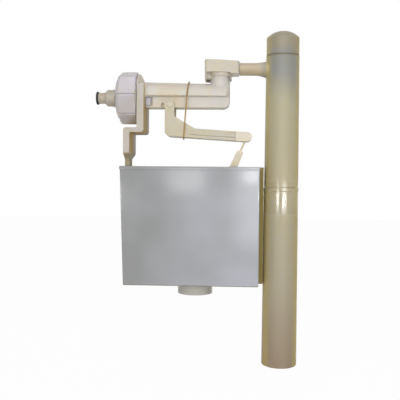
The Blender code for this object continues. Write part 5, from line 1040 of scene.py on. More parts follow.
def hanger_strap():
    lower_x = hanger_low.x
    step_low = STRAP_STEP_Z - STRAP_STEP_THICK
    shoulder_z = TONGUE_START - TONGUE_SHOULDER
    above, below = hanger_high.z + FAR / 6, hanger_low.z - FAR / 6
    tip_soft = TONGUE_THICK * 0.42
    half = hanger_high.y
    strap = slab("hanger_strap", [
        (strap_x, hanger_high.z, 0), (strap_x, STRAP_STEP_Z, STRAP_INNER_BEND),
        (lower_x, STRAP_STEP_Z, STRAP_BEND), (lower_x, hanger_low.z, tip_soft),
        (lower_x + TONGUE_THICK, hanger_low.z, tip_soft), (lower_x + TONGUE_THICK, shoulder_z, 0),
        (lower_x + STRAP_LOWER_THICK, TONGUE_START, ROUNDED),
        (lower_x + STRAP_LOWER_THICK, step_low, STRAP_INNER_BEND),
        (hanger_high.x, step_low, STRAP_BEND), (hanger_high.x, hanger_high.z, 0),
    ], "Y", -half, half)
    side = half - HAIR
    front = slab("front_view", [
        (-side, above, 0), (-side, TONGUE_START, 1.6 * MM), (-TONGUE_HALF, shoulder_z, 2.4 * MM),
        (-TONGUE_HALF, below, 0), (TONGUE_HALF, below, 0), (TONGUE_HALF, shoulder_z, 2.4 * MM),
        (side, TONGUE_START, 1.6 * MM), (side, above, 0),
    ], "X", -FAR, FAR)
    shape_with(strap, "INTERSECT", front)
    notch_half = TUBE_START_RADIUS + 2 * GAP
    notch_z, notch_soft = TUBE_START_Z - notch_half, notch_half * 0.98
    cut(strap, slab("notch", [
        (-notch_half, above, 0), (-notch_half, notch_z, notch_soft),
        (notch_half, notch_z, notch_soft), (notch_half, above, 0),
    ], "X", strap_x - FAR / 8, hanger_high.x + FAR / 8))
    bm = bmesh.new()
    bm.from_mesh(strap.data)
    bmesh.ops.remove_doubles(bm, verts=bm.verts, dist=HAIR)
    soften(bm, sharp_edges(bm), STRAP_EDGE)
    bm.to_mesh(strap.data)
    bm.free()
    return cut(strap, through_hole("hole", joint_at["float_hinge"], HINGE_HOLE))


seat(hanger_strap(), "valve", "cream_plastic", strap_acetal, "float_hanger")

# %% [markdown]
# The lever is a plate that was thought of in two views as well. From the side it is an L with a
# gusset. From above it is wide at the fork, narrows beside the gusset, and swells by a hair at
# the knuckle. The side view is extruded, cut at the places where the width changes, and its sides
# are moved in to the width that belongs there.

# %% Lever
lever_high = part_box("lever")[1]
link_top = joint_at["link_swing"]
ARM_SLOPE = math.radians(3.6)
ARM_HALF_THICK, ARM_HALF_WIDTH = 4.6 * MM, 9.0 * MM
LEG_LEFT, LEG_RIGHT = 4.7 * MM, 4.6 * MM
HEEL_SOFT, CHEEK_TOP = 4.5 * MM, 5.0 * MM
GUSSET_TOP, GUSSET_RUN, TAPER_LEAD = 11.2 * MM, 20.0 * MM, 2 * MM
KNUCKLE_LENGTH, KNUCKLE_STEP = 16.2 * MM, 0.3 * MM
LEVER_EDGE = 0.55 * MM
CHEEK_INNER = CHAMBER_HALF + GAP
FORK_LOW = pivot.z - 16.5 * MM


def on_arm(along, across):
    """A point beside the link's eye: along the arm towards its tip, and square to it upwards."""
    ahead = Vector((math.cos(ARM_SLOPE), 0, -math.sin(ARM_SLOPE)))
    up = Vector((math.sin(ARM_SLOPE), 0, math.cos(ARM_SLOPE)))
    place = link_top + ahead * along + up * across
    return place.x, place.z


def arm_level(x, across):
    """The height of a line that runs beside the arm's middle, at this x."""
    return link_top.z + (link_top.x - x) * math.tan(ARM_SLOPE) + across / math.cos(ARM_SLOPE)


taper_start = pivot.x + LEG_RIGHT + TAPER_LEAD
taper_end = taper_start + GUSSET_RUN
knuckle_x = lever_high.x - KNUCKLE_LENGTH
cheek_half = lever_high.y


def lever_width(x):
    """Half the lever's width at this x, straight between the places where it changes."""
    stations = [
        (taper_start, cheek_half), (taper_end, ARM_HALF_WIDTH),
        (knuckle_x, ARM_HALF_WIDTH), (knuckle_x + KNUCKLE_STEP, ARM_HALF_WIDTH + KNUCKLE_STEP),
    ]
    if x <= taper_start:
        return cheek_half
    for (start, first), (end, second) in zip(stations, stations[1:]):
        if x <= end:
            return first + (second - first) * (x - start) / (end - start)
    return ARM_HALF_WIDTH + KNUCKLE_STEP


def lever_blank():
    left, right = pivot.x - LEG_LEFT, pivot.x + LEG_RIGHT
    gusset_end = right + GUSSET_RUN
    tip = lever_high.x - link_top.x
    tip_soft = ARM_HALF_THICK * 0.95
    bm = slab_mesh([
        (left, arm_level(left, -ARM_HALF_THICK), HEEL_SOFT),
        (*on_arm(tip, -ARM_HALF_THICK), tip_soft), (*on_arm(tip, ARM_HALF_THICK), tip_soft),
        (gusset_end, arm_level(gusset_end, ARM_HALF_THICK), 2.5 * MM),
        (right, pivot.z - GUSSET_TOP, 1.2 * MM),
        (right, pivot.z + CHEEK_TOP, LEG_RIGHT * 0.96), (left, pivot.z + CHEEK_TOP, LEG_LEFT * 0.96),
    ], "Y", -cheek_half, cheek_half)
    for x in (taper_start, taper_end, knuckle_x, knuckle_x + KNUCKLE_STEP):
        bmesh.ops.bisect_plane(
            bm, geom=bm.verts[:] + bm.edges[:] + bm.faces[:], dist=SAME_PLACE,
            plane_co=(x, 0, 0), plane_no=(1, 0, 0),
        )
    for vert in bm.verts:
        vert.co.y = math.copysign(lever_width(vert.co.x), vert.co.y)
    soften(bm, sharp_edges(bm), LEVER_EDGE)
    return make_object("lever_arm", bm)


lever_arm = lever_blank()
print("lever blank:", len(lever_arm.data.polygons), "faces")

# %% [markdown]
# What makes it a lever is taken out of it or added afterwards: the space for the body between its
# cheeks, the nose that pushes the plunger, the hollow and the sunk band that save plastic along
# the arm, the slot for the link's eye, and the two pin holes. The photograph also shows a dark
# line above the band and before the knuckle. It is a thin groove, cut from the front only.

# %% Lever: fork, nose, hollow and holes
NOSE_HALF, NOSE_LENGTH, NOSE_REACH = 2.9 * MM, 6.2 * MM, 9.5 * MM
NOSE_BACK, NOSE_ROOT = 5.7 * MM, 4 * MM
BAND_DEPTH, BAND_HEIGHT, BAND_LEAD = 0.6 * MM, 2.9 * MM, 1 * MM
GROOVE_WIDTH, GROOVE_DEPTH, GROOVE_LEAD = 0.5 * MM, 1.3 * MM, 6 * MM
KNUCKLE_GROOVE_DEPTH, KNUCKLE_GROOVE_LOW = 1.0 * MM, -3 * MM
HOLLOW_WALL, HOLLOW_HEIGHT, HOLLOW_END_WALL = 2.0 * MM, 4.6 * MM, 2 * MM
EYE_SLOT_HALF, EYE_SLOT_DEEP = 1.6 * MM, 5.0 * MM
END_PIN_FRONT, END_HOLE = 8.0 * MM, 1.2 * MM
FORK_DEEP = 30 * MM
KNUCKLE_PALE, PALE_START, PALE_END = srgb(214, 207, 193), 0.2 * MM, 0.4 * MM
LEVER_SHARP_EDGE = math.radians(19)


def along_arm(name, left, right, height, near, away, foot=-2 * MM):
    """A bar that takes the arm away between two heights above its lower edge."""
    low = foot - ARM_HALF_THICK
    top = height - ARM_HALF_THICK
    return slab(name, [
        (left, arm_level(left, low), 0), (right, arm_level(right, low), 0),
        (right, arm_level(right, top), 0), (left, arm_level(left, top), 0),
    ], "Y", near, away)


nose_x, nose_root = pivot.x - NOSE_BACK, FORK_LOW - NOSE_ROOT
outside = 2 * ARM_HALF_WIDTH
hollow_half, band_half = ARM_HALF_WIDTH - HOLLOW_WALL, ARM_HALF_WIDTH - BAND_DEPTH
groove_half, knuckle_half = ARM_HALF_WIDTH - GROOVE_DEPTH, ARM_HALF_WIDTH - KNUCKLE_GROOVE_DEPTH
hollow_start, hollow_end = taper_end + 10 * HAIR, knuckle_x - HOLLOW_END_WALL
band_start, band_end = taper_end - BAND_LEAD, knuckle_x - 10 * HAIR
cut(
    lever_arm,
    along_arm("band_front", band_start, band_end, BAND_HEIGHT, -outside, -band_half),
    along_arm("band_back", band_start, band_end, BAND_HEIGHT, band_half, outside),
    along_arm(
        "groove", band_start - GROOVE_LEAD, band_end - 20 * HAIR, BAND_HEIGHT + GROOVE_WIDTH,
        -outside, -groove_half, BAND_HEIGHT - 2 * HAIR,
    ),
    along_arm(
        "knuckle_groove", band_end - GROOVE_WIDTH, band_end + 8 * HAIR, 3 * ARM_HALF_THICK,
        -outside, -knuckle_half, KNUCKLE_GROOVE_LOW,
    ),
    along_arm("hollow", hollow_start, hollow_end, HOLLOW_HEIGHT, -hollow_half, hollow_half),
    block(
        "fork_space", (pivot.x - FAR, -CHEEK_INNER, FORK_LOW),
        (pivot.x + FORK_DEEP, CHEEK_INNER, FAR),
    ),
)
join(lever_arm, slab("nose", [
    (nose_x, nose_root, 0), (nose_x + NOSE_LENGTH, nose_root, 0),
    (nose_x + NOSE_LENGTH, pivot.z + NOSE_REACH, 2.2 * MM), (nose_x, pivot.z + NOSE_REACH, 1.6 * MM),
], "Y", -NOSE_HALF, NOSE_HALF, 0.4 * MM))
cut(
    lever_arm,
    block(
        "eye_slot", (link_top.x - EYE_SLOT_DEEP, -EYE_SLOT_HALF, link_top.z - FAR),
        (link_top.x + FAR, EYE_SLOT_HALF, link_top.z + FAR),
    ),
    through_hole("pivot_hole", pivot, PIN_HOLE),
    rod("end_hole", link_top - Vector((0, END_PIN_FRONT, 0)), link_top + Vector((0, FAR, 0)), END_HOLE),
)
lever_acetal = moulded("lever_acetal", *LEVER_ACETAL, stains_and_shades=[
    ("X", knuckle_x - PALE_START, knuckle_x + PALE_END, KNUCKLE_PALE),
])
seat(lever_arm, "lever", "cream_plastic", lever_acetal, "lever", crisp=LEVER_SHARP_EDGE)

# %% [markdown]
# The pivot pin is a plastic pin with two low heads, so it is turned about Y. Its heads are domed
# by soft corners, because a flat disc would read as a screw. The three small pins are plain steel
# rods with soft ends, and one function turns them. The one at the arm's end stops inside the front
# cheek, because none shows there.

# %% Pins
pin_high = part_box("lever_pivot_pin")[1]
HEAD_THICK, PIN_RADIUS = 0.8 * MM, 1.5 * MM
pin_half = pin_high.y
pin_head = pin_high.x - pivot.x
pivot_pin = turned("pivot_pin", [
    (-pin_half, 0, 0), (-pin_half, pin_head, ROUNDED), (-pin_half + HEAD_THICK, pin_head, 0),
    (-pin_half + HEAD_THICK, PIN_RADIUS, 0), (pin_half - HEAD_THICK, PIN_RADIUS, 0),
    (pin_half - HEAD_THICK, pin_head, 0), (pin_half, pin_head, ROUNDED), (pin_half, 0, 0),
], "Y", pivot, 48, closed=False)
seat(pivot_pin, "valve", "cream_plastic", acetal, "lever_pivot_pin")


def steel_pin(name, node, body, front=None):
    low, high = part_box(node)
    if front is not None:
        low.y = -front
    middle = (low + high) / 2
    half, radius = (high.y - low.y) / 2, (high.x - low.x) / 2
    pin = turned(name, [
        (-half, 0, 0), (-half, radius, TIGHT), (half, radius, TIGHT), (half, 0, 0),
    ], "Y", middle, 32, closed=False)
    return seat(pin, body, "pin_steel", steel, node)


steel_pin("arm_end_pin", "lever_end_pin", "lever", front=END_PIN_FRONT - GAP)
steel_pin("hinge_pin", "float_hinge_pin", "valve")
steel_pin("lug_pin", "float_link_pin", "float")

# %% [markdown]
# The link is two pieces: a wire that ends in an eye, and a flat clip that the wire screws into,
# so that the float's height can be set. The clip is a slab along the link's own line with soft
# rims, and a shallow panel is sunk into each of its faces.

# %% Link wire and clip
LINK_LEAN = math.radians(23.5)
LINK_LENGTH = 37.2 * MM
WIRE_RADIUS, EYE_RADIUS = 1.0 * MM, 2.4 * MM
CLIP_START, CLIP_HALF_TOP, CLIP_HALF_LOW = 14.9 * MM, 3.2 * MM, 3.8 * MM
CLIP_HALF_DEPTH, CLIP_FORK, LUG_SLOT_HALF = 3.0 * MM, 6.0 * MM, 1.8 * MM
CLIP_PANEL_RIM, CLIP_PANEL_DEPTH, CLIP_PANEL_SOFT = 1.3 * MM, 0.35 * MM, 1.2 * MM
WIRE_IN_CLIP, CLIP_BORE_DEPTH = 11.6 * MM, 11.9 * MM
EYE_HOLE, LOWER_HOLE = 1.2 * MM, 1.5 * MM
link_down = Vector((-math.sin(LINK_LEAN), 0, -math.cos(LINK_LEAN)))
link_across = Vector((math.cos(LINK_LEAN), 0, -math.sin(LINK_LEAN)))


def link_point(distance):
    return link_top + link_down * distance


def on_link(distance, across):
    place = link_point(distance) + link_across * across
    return place.x, place.z


wire = rod(
    "link_wire", link_point(EYE_RADIUS * 0.85), link_point(CLIP_START + WIRE_IN_CLIP), WIRE_RADIUS,
    steps=32,
)
join(wire, turned("eye", [
    (-WIRE_RADIUS, EYE_RADIUS, ROUNDED), (WIRE_RADIUS, EYE_RADIUS, ROUNDED),
    (WIRE_RADIUS, EYE_HOLE, SOFT), (-WIRE_RADIUS, EYE_HOLE, SOFT),
], "Y", link_top, 48))
seat(wire, "link", "cream_plastic", pale_acetal, "link_rod")


def adjusting_clip():
    end = LINK_LENGTH + CLIP_HALF_TOP * 0.9
    clip = slab("adjusting_clip", [
        (*on_link(CLIP_START, -CLIP_HALF_TOP), 2.4 * MM),
        (*on_link(CLIP_START, CLIP_HALF_TOP), 1.6 * MM),
        (*on_link(end, CLIP_HALF_LOW), 2.4 * MM), (*on_link(end, -CLIP_HALF_LOW), 2.4 * MM),
    ], "Y", -CLIP_HALF_DEPTH, CLIP_HALF_DEPTH, ROUNDED)
    panel_top, fork_top = CLIP_START + CLIP_PANEL_RIM, LINK_LENGTH - CLIP_FORK
    inner_top, inner_low = CLIP_HALF_TOP - CLIP_PANEL_RIM, CLIP_HALF_LOW - CLIP_PANEL_RIM
    panels = []
    for side in (-1, 1):
        near, away = on_side(side, CLIP_HALF_DEPTH - CLIP_PANEL_DEPTH)
        panels.append(slab("panel", [
            (*on_link(panel_top, -inner_top), CLIP_PANEL_SOFT),
            (*on_link(panel_top, inner_top), CLIP_PANEL_SOFT),
            (*on_link(fork_top, inner_low), CLIP_PANEL_SOFT),
            (*on_link(fork_top, -inner_low), CLIP_PANEL_SOFT),
        ], "Y", near, away))
    fork_end, aside = LINK_LENGTH + FAR / 4, FAR / 4
    fork = slab("fork", [
        (*on_link(fork_top, -aside), 0), (*on_link(fork_top, aside), 0),
        (*on_link(fork_end, aside), 0), (*on_link(fork_end, -aside), 0),
    ], "Y", -LUG_SLOT_HALF, LUG_SLOT_HALF)
    hole = through_hole("hole", link_point(LINK_LENGTH), LOWER_HOLE, steps=32)
    bore = rod(
        "bore", link_point(CLIP_START - PAST), link_point(CLIP_START + CLIP_BORE_DEPTH),
        WIRE_RADIUS + GAP, steps=32,
    )
    return cut(clip, *panels, fork, hole, bore)


seat(adjusting_clip(), "link", "cream_plastic", pale_acetal, "link_clip")

# %% [markdown]
# The cup is a deep box with one drafted wall, a thin rim, a round neck in its floor and, on the
# side of the pipe, a channel that slides on the pipe's rail. The outer and the inner form are two
# slabs with soft edges, one cut out of the other.

# %% Float cup
RIM_PROUD, RIM_HEIGHT, RIM_LIP = 0.4 * MM, 3.4 * MM, 0.35 * MM
CUP_WALL, CUP_FLOOR, CUP_HALF = 1.6 * MM, 2.0 * MM, 25.5 * MM
CUP_EDGE = 1.1 * MM
CUP_DRAFT = 3.5 * MM
NECK_RADIUS, NECK_WALL = 17.4 * MM, 1.6 * MM
DRAIN_HOLE, DRAIN_LIP, DRAIN_LIP_WIDTH = 8.5 * MM, 1.0 * MM, 1.6 * MM
cap_low, cap_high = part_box("standpipe_cap")
pipe_axis_x = (cap_low.x + cap_high.x) / 2
PIPE_FOOT_RADIUS, RAIL_DEPTH = 17.4 * MM, 5.2 * MM
RAIL_HEAD_HALF, RAIL_HEAD_THICK, RAIL_WEB_HALF = 4.2 * MM, 1.5 * MM, 1.2 * MM
CHANNEL_WALL = 1.8 * MM
cup_left = cup_low.x + RIM_PROUD
cup_right = pipe_axis_x - PIPE_FOOT_RADIUS - RAIL_DEPTH
disc_low, disc_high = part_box("drain_disc")
drain_x = (disc_low.x + disc_high.x) / 2


print("cup", round((cup_right - cup_left) / MM, 1), "mm wide at its mouth, without the rim")

# %% Float cup: its box and its rim


def cup_form(name, inset, top, bottom):
    """The cup's front view drawn in by inset, as a slab with soft edges below its mouth."""
    draft = CUP_DRAFT / (cup_high.z - cup_bottom)
    top_left = cup_left + (cup_high.z - top) * draft + inset
    bottom_left = cup_left + (cup_high.z - bottom) * draft + inset
    right, half = cup_right - inset, CUP_HALF - inset
    bm = slab_mesh([
        (top_left, top, 0), (bottom_left, bottom, 0), (right, bottom, 0), (right, top, 0),
    ], "Y", -half, half)
    near_mouth = top - 1 * MM
    below = [e for e in sharp_edges(bm) if min(vert.co.z for vert in e.verts) < near_mouth]
    soften(bm, below, CUP_EDGE, 4)
    return make_object(name, bm)


def cup_rim():
    """The thin band round the mouth, with its four upright edges rounder than its lips."""
    bm = bmesh.new()
    size = Vector((
        cup_right - cup_left + 2 * RIM_PROUD, 2 * (CUP_HALF + RIM_PROUD), RIM_HEIGHT - HAIR,
    ))
    middle = Vector(((cup_left + cup_right) / 2, 0, cup_high.z - HAIR - size.z / 2))
    bmesh.ops.create_cube(bm, matrix=Matrix.Translation(middle) @ Matrix.Diagonal(size.to_4d()))
    upright = [e for e in bm.edges if abs(e.verts[0].co.z - e.verts[1].co.z) > RIM_HEIGHT / 2]
    soften(bm, upright, CUP_EDGE, 4)
    soften(bm, sharp_edges(bm), RIM_LIP, 2)
    return make_object("rim", bm)


print("rim", round(RIM_HEIGHT / MM, 1), "mm high")

# %% Float cup: put together and hollowed


def cup_shell():
    cup = cup_form("cup_shell", 0, cup_high.z, cup_bottom)
    neck_top = cup_bottom + CUP_FLOOR / 2
    neck = rod("neck", (drain_x, 0, cup_low.z), (drain_x, 0, neck_top), NECK_RADIUS, steps=ROUND)
    channel_half = RAIL_HEAD_HALF + GAP + CHANNEL_WALL
    channel = block(
        "channel", (cup_right - CUP_WALL / 2, -channel_half, cup_bottom + 2 * HAIR),
        (cup_high.x, channel_half, cup_high.z - 3 * HAIR),
    )
    join(cup, cup_rim(), neck, channel)
    above = cup_high.z + PAST
    inside = cup_form("inside", CUP_WALL, above, cup_bottom + CUP_FLOOR)
    clearance = rod(
        "clearance", (pipe_axis_x, 0, cup_low.z), (pipe_axis_x, 0, above),
        PIPE_FOOT_RADIUS + RIM_PROUD + GAP, steps=ROUND * 2,
    )
    rail_head = block(
        "rail_head", (cup_right, -RAIL_HEAD_HALF - GAP, cup_low.z),
        (cup_right + RAIL_HEAD_THICK + 3 * GAP, RAIL_HEAD_HALF + GAP, above),
    )
    rail_web = block(
        "rail_web", (cup_right + GAP, -RAIL_WEB_HALF - GAP, cup_low.z),
        (cup_right + FAR / 4, RAIL_WEB_HALF + GAP, above + 1 * MM),
    )
    cut(cup, inside, clearance, rail_head, rail_web)
    lip_radius, neck_inner = DRAIN_HOLE + DRAIN_LIP_WIDTH, NECK_RADIUS - NECK_WALL
    return cut(cup, turned("neck_space", [
        (cup_low.z - PAST, 0, 0), (cup_low.z - PAST, neck_inner, 0),
        (cup_bottom, neck_inner, 0), (cup_bottom, lip_radius, 0),
        (cup_bottom - DRAIN_LIP, lip_radius, 0), (cup_bottom - DRAIN_LIP, DRAIN_HOLE, 0),
        (cup_bottom + CUP_FLOOR + PAST, DRAIN_HOLE, 0), (cup_bottom + CUP_FLOOR + PAST, 0, 0),
    ], "Z", (drain_x, 0, 0), closed=False))


seat(cup_shell(), "valve", "grey_cup", cup_finish, "float_cup")

# %% [markdown]
# The silencer pipe is turned in three lengths. The upper one comes first. The branch grows out of
# it like a trumpet: its rings widen towards the pipe, so it is extruded ring by ring, joined to
# the turned pipe while both are solid, and then both get their bores.

# %% Silencer pipe
tee_low, tee_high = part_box("standpipe_tee")
tube_low, tube_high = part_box("standpipe_tube")
PIPE_WALL = 2.0 * MM
PIPE_TOP_RADIUS, PIPE_SEAM_RADIUS = 16.2 * MM, 16.8 * MM
PIPE_COLLAR_PROUD, PIPE_COLLAR_HEIGHT = 0.4 * MM, 3.6 * MM
BRANCH_Z, BRANCH_RADIUS, BRANCH_WALL, BRANCH_ROOT = 28.8 * MM, 6.2 * MM, 1.3 * MM, 4 * MM
FLARE_RADIUS, FLARE_LENGTH, FLARE_DROP = 9.7 * MM, 15.0 * MM, 1.0 * MM
FLARE_STATIONS = 10
pipe_axis = Vector((pipe_axis_x, 0, 0))


def branch_trumpet():
    end_x = pipe_axis_x - PIPE_TOP_RADIUS + BRANCH_ROOT
    flare_x = end_x - FLARE_LENGTH
    bm = bmesh.new()
    place = Matrix.Translation((tee_low.x, 0, BRANCH_Z)) @ Matrix.Rotation(math.pi / 2, 4, "Y")
    bmesh.ops.create_circle(
        bm, cap_ends=True, radius=BRANCH_RADIUS, segments=ROUND // 2, matrix=place,
    )
    ring = [edge for edge in bm.edges if edge.is_boundary]
    for step in range(FLARE_STATIONS + 1):
        share = step / FLARE_STATIONS
        x = flare_x + (end_x - flare_x) * share
        radius = BRANCH_RADIUS + (FLARE_RADIUS - BRANCH_RADIUS) * share ** 2
        middle = BRANCH_Z - FLARE_DROP * share ** 2
        grown = bmesh.ops.extrude_edge_only(bm, edges=ring)["geom"]
        ring = [item for item in grown if isinstance(item, bmesh.types.BMEdge)]
        verts = [item for item in grown if isinstance(item, bmesh.types.BMVert)]
        old_middle = sum((vert.co for vert in verts), Vector()) / len(verts)
        for vert in verts:
            out = Vector((0, vert.co.y - old_middle.y, vert.co.z - old_middle.z)).normalized()
            vert.co = Vector((x, 0, middle)) + out * radius
    bmesh.ops.edgeloop_fill(bm, edges=ring)
    return make_object("branch", bm)


def upper_pipe():
    pipe = turned("pipe_upper", [
        (tee_low.z, 0, 0), (tee_low.z, PIPE_SEAM_RADIUS, 0.12 * MM),
        (tee_high.z, PIPE_TOP_RADIUS, 0.35 * MM), (tee_high.z, 0, 0),
    ], "Z", pipe_axis, closed=False)
    join(pipe, branch_trumpet())
    bore = rod(
        "bore", (pipe_axis_x, 0, tee_low.z - PAST), (pipe_axis_x, 0, tee_high.z + PAST),
        PIPE_SEAM_RADIUS - PIPE_WALL, PIPE_TOP_RADIUS - PIPE_WALL, steps=ROUND,
    )
    branch_bore = rod(
        "branch_bore", (tee_low.x - PAST, 0, BRANCH_Z), (pipe_axis_x, 0, BRANCH_Z),
        BRANCH_RADIUS - BRANCH_WALL,
    )
    return cut(pipe, bore, branch_bore)


seat(upper_pipe(), "valve", "milky_pipe", milky, "standpipe_tee")

# %% [markdown]
# The lower pipe widens a little towards its foot and has a soft collar at its mouth, where the
# upper pipe stands on it and a sleeve inside joins the two. A T-shaped rail runs down its left
# side. The cup slides on that rail, so the rail's head and web are plain blocks that fit the
# cup's channel with a gap.

# %% Lower pipe with its rail
PIPE_FOOT_INNER = PIPE_FOOT_RADIUS - PIPE_WALL
SEAM_INNER = PIPE_SEAM_RADIUS - PIPE_WALL


def lower_pipe():
    collar = PIPE_SEAM_RADIUS + PIPE_COLLAR_PROUD
    under_collar = tube_high.z - PIPE_COLLAR_HEIGHT
    pipe = turned("pipe_lower", [
        (tube_low.z, PIPE_FOOT_INNER, SOFT), (tube_low.z, PIPE_FOOT_RADIUS, 0.5 * MM),
        (under_collar - PIPE_COLLAR_PROUD, PIPE_SEAM_RADIUS + 2 * HAIR, SOFT),
        (under_collar, collar, SOFT), (tube_high.z, collar, SOFT),
        (tube_high.z, SEAM_INNER, TIGHT),
    ], "Z", pipe_axis)
    head_x = cup_right + 2 * GAP
    web = block(
        "web", (head_x + RAIL_HEAD_THICK / 2, -RAIL_WEB_HALF, cup_bottom),
        (pipe_axis_x - PIPE_FOOT_RADIUS + PIPE_WALL / 2, RAIL_WEB_HALF, under_collar),
    )
    head = block(
        "head", (head_x, -RAIL_HEAD_HALF, cup_bottom + 2 * HAIR),
        (head_x + RAIL_HEAD_THICK, RAIL_HEAD_HALF, under_collar - 2 * HAIR), 0.3 * MM,
    )
    return join(pipe, web, head)


seat(lower_pipe(), "valve", "milky_pipe", milky, "standpipe_tube")

# %% [markdown]
# The cap is a short side with a domed top, and a thinner spigot below that plugs into the pipe.
# The dome is flatter than a ball, so its profile is a power curve of the radius, and a soft first
# corner rounds the shoulder where the dome leaves the side.

# %% Cap
CAP_SIDE, CAP_DOME, CAP_WALL = 17.5 * MM, 6.5 * MM, 1.8 * MM
CAP_SPIGOT = PIPE_TOP_RADIUS - PIPE_WALL - 0.6 * MM
CAP_RADIUS = PIPE_TOP_RADIUS - 0.2 * MM
CAP_BASE = tee_high.z + GAP
DOME_STEPS, DOME_POWER = 12, 2.5
CAP_SHOULDER = 1.6 * MM


def dome_profile(base_z, base_radius, height):
    """A dome a little flatter than a ball, from its rim to its top, as corners to turn."""
    points = []
    for step in range(DOME_STEPS + 1):
        share = math.cos(0.5 * math.pi * step / DOME_STEPS)
        soft = CAP_SHOULDER if step == 0 else 0
        points.append((base_z + height * (1 - share ** DOME_POWER), base_radius * share, soft))
    return points


def pipe_cap():
    inner = CAP_SPIGOT - CAP_WALL
    outside = [
        (cap_low.z, CAP_SPIGOT, SOFT), (CAP_BASE, CAP_SPIGOT, 0), (CAP_BASE, CAP_RADIUS, SOFT),
    ]
    outside += dome_profile(CAP_BASE + CAP_SIDE, CAP_RADIUS, CAP_DOME)
    inside = [(cap_low.z, inner, 0)] + dome_profile(CAP_BASE + CAP_SIDE, inner, CAP_DOME - CAP_WALL)
    return turned("pipe_cap", list(reversed(outside)) + inside, "Z", pipe_axis, closed=False)


seat(pipe_cap(), "valve", "milky_pipe", milky, "standpipe_cap")

# %% [markdown]
# The hood over the riser is the air break: its skirt is open below and in front, so that no water
# can be sucked back. The closed box above runs on to the pipe's branch: its top falls a little
# and its sides draw in on the way, and a round spigot inside its end plugs into the branch.

# %% Outlet hood
HOOD_WALL, HOOD_ROOF, HOOD_BOX_LOW = 1.5 * MM, 25.0 * MM, 23.0 * MM
HOOD_RIGHT = BODY_END + GAP + HOOD_WALL
HOOD_CORNER, HOOD_SKIRT_CORNER = 3.0 * MM, 10.0 * MM
HOOD_TOP_FALL, HOOD_END_HALF, HOOD_END_CORNER = 1.2 * MM, 9.5 * MM, 3.0 * MM
HOOD_END = tee_low.x - GAP
HOOD_COLLAR_DROP, HOOD_COLLAR_WALL = 4.0 * MM, 1.2 * MM
HOOD_WEB_HALF, HOOD_WEB_RISE = 5.5 * MM, 1.5 * MM
HOOD_EDGE, HOOD_SKIRT_THINNER = 0.8 * MM, 0.15 * MM
HOOD_WINDOW_RIM, HOOD_WINDOW_DROP = 0.5 * MM, 0.4 * MM
SPIGOT_OUTER = BRANCH_RADIUS - BRANCH_WALL - GAP


def hood_plan(inset):
    half = hood_high.y - inset
    left, right = hood_low.x + inset, HOOD_RIGHT - inset
    corner, far_corner = HOOD_CORNER - inset, HOOD_SKIRT_CORNER - inset
    return [
        (left, -half, corner), (right, -half, far_corner),
        (right, half, far_corner), (left, half, corner),
    ]


def hood_housing():
    """The closed upper box, whose top falls and whose sides draw in towards the branch."""
    half = hood_high.y
    bm = slab_mesh([
        (hood_low.x, -half, HOOD_CORNER), (RISER_X, -half, 0), (HOOD_END, -HOOD_END_HALF, HOOD_END_CORNER),
        (HOOD_END, HOOD_END_HALF, HOOD_END_CORNER), (RISER_X, half, 0), (hood_low.x, half, HOOD_CORNER),
    ], "Z", HOOD_BOX_LOW, hood_high.z)
    for vert in bm.verts:
        if vert.co.z > HOOD_ROOF:
            vert.co.z -= HOOD_TOP_FALL * (vert.co.x - hood_low.x) / (HOOD_END - hood_low.x)
    soften(bm, sharp_edges(bm), HOOD_EDGE, 4)
    return make_object("air_hood", bm)


def air_hood():
    hood = hood_housing()
    below, past = hood_low.z - PAST, 9 * MM
    skirt_top = (HOOD_ROOF + hood_high.z) / 2
    skirt = slab("skirt", hood_plan(GAP / 3), "Z", hood_low.z, skirt_top, 0.3 * MM, 2)
    spigot = rod("spigot", (HOOD_RIGHT, 0, BRANCH_Z), (hood_high.x, 0, BRANCH_Z), SPIGOT_OUTER)
    join(hood, skirt, spigot)
    inner_plan = hood_plan(HOOD_WALL - HOOD_SKIRT_THINNER)
    skirt_space = slab("skirt_space", inner_plan, "Z", below, HOOD_ROOF)
    window = block(
        "window", (hood_low.x + HOOD_WALL + HOOD_WINDOW_RIM, -FAR, below),
        (HOOD_RIGHT - HOOD_WALL - HOOD_WINDOW_RIM, -hood_high.y / 2, HOOD_ROOF - HOOD_WINDOW_DROP),
    )
    cut(hood, skirt_space, window)
    riser_hole = RISER_RADIUS + GAP
    collar = rod(
        "collar", (RISER_X, 0, HOOD_ROOF - HOOD_COLLAR_DROP), (RISER_X, 0, HOOD_ROOF + 1 * MM),
        riser_hole + HOOD_COLLAR_WALL, steps=ROUND,
    )
    web = block(
        "web", (hood_low.x + HOOD_WALL / 2, -HOOD_WEB_HALF, hood_low.z + HOOD_WEB_RISE),
        (RISER_X, HOOD_WEB_HALF, HOOD_ROOF + 1.5 * MM), 0.3 * MM, 2,
    )
    within = slab("within", hood_plan(HOOD_WALL / 2), "Z", hood_low.z - past, hood_high.z + past)
    shape_with(collar, "INTERSECT", within)
    join(hood, collar, web)
    chamber = rod(
        "chamber", (RISER_X, 0, hood_low.z - past), (RISER_X, 0, body_high.z + GAP), riser_hole,
        steps=ROUND,
    )
    upper_end = hood_high.z - HOOD_WALL - HOOD_TOP_FALL / 2
    upper = rod(
        "upper", (RISER_X, 0, body_high.z - 1 * MM), (RISER_X, 0, upper_end),
        riser_hole - HOOD_WALL, steps=ROUND,
    )
    outlet = rod("outlet", (RISER_X, 0, BRANCH_Z), (FAR * 3, 0, BRANCH_Z), SPIGOT_OUTER - 1.2 * MM)
    return cut(hood, chamber, upper, outlet)


seat(air_hood(), "valve", "cream_plastic", hood_acetal, "outlet_hood")

# %% [markdown]
# The rubber band is soft: it lies over the body and under the lever and stretches when the lever
# drops. It is a closed wire drawn along a loop that leans from the body down to the arm.

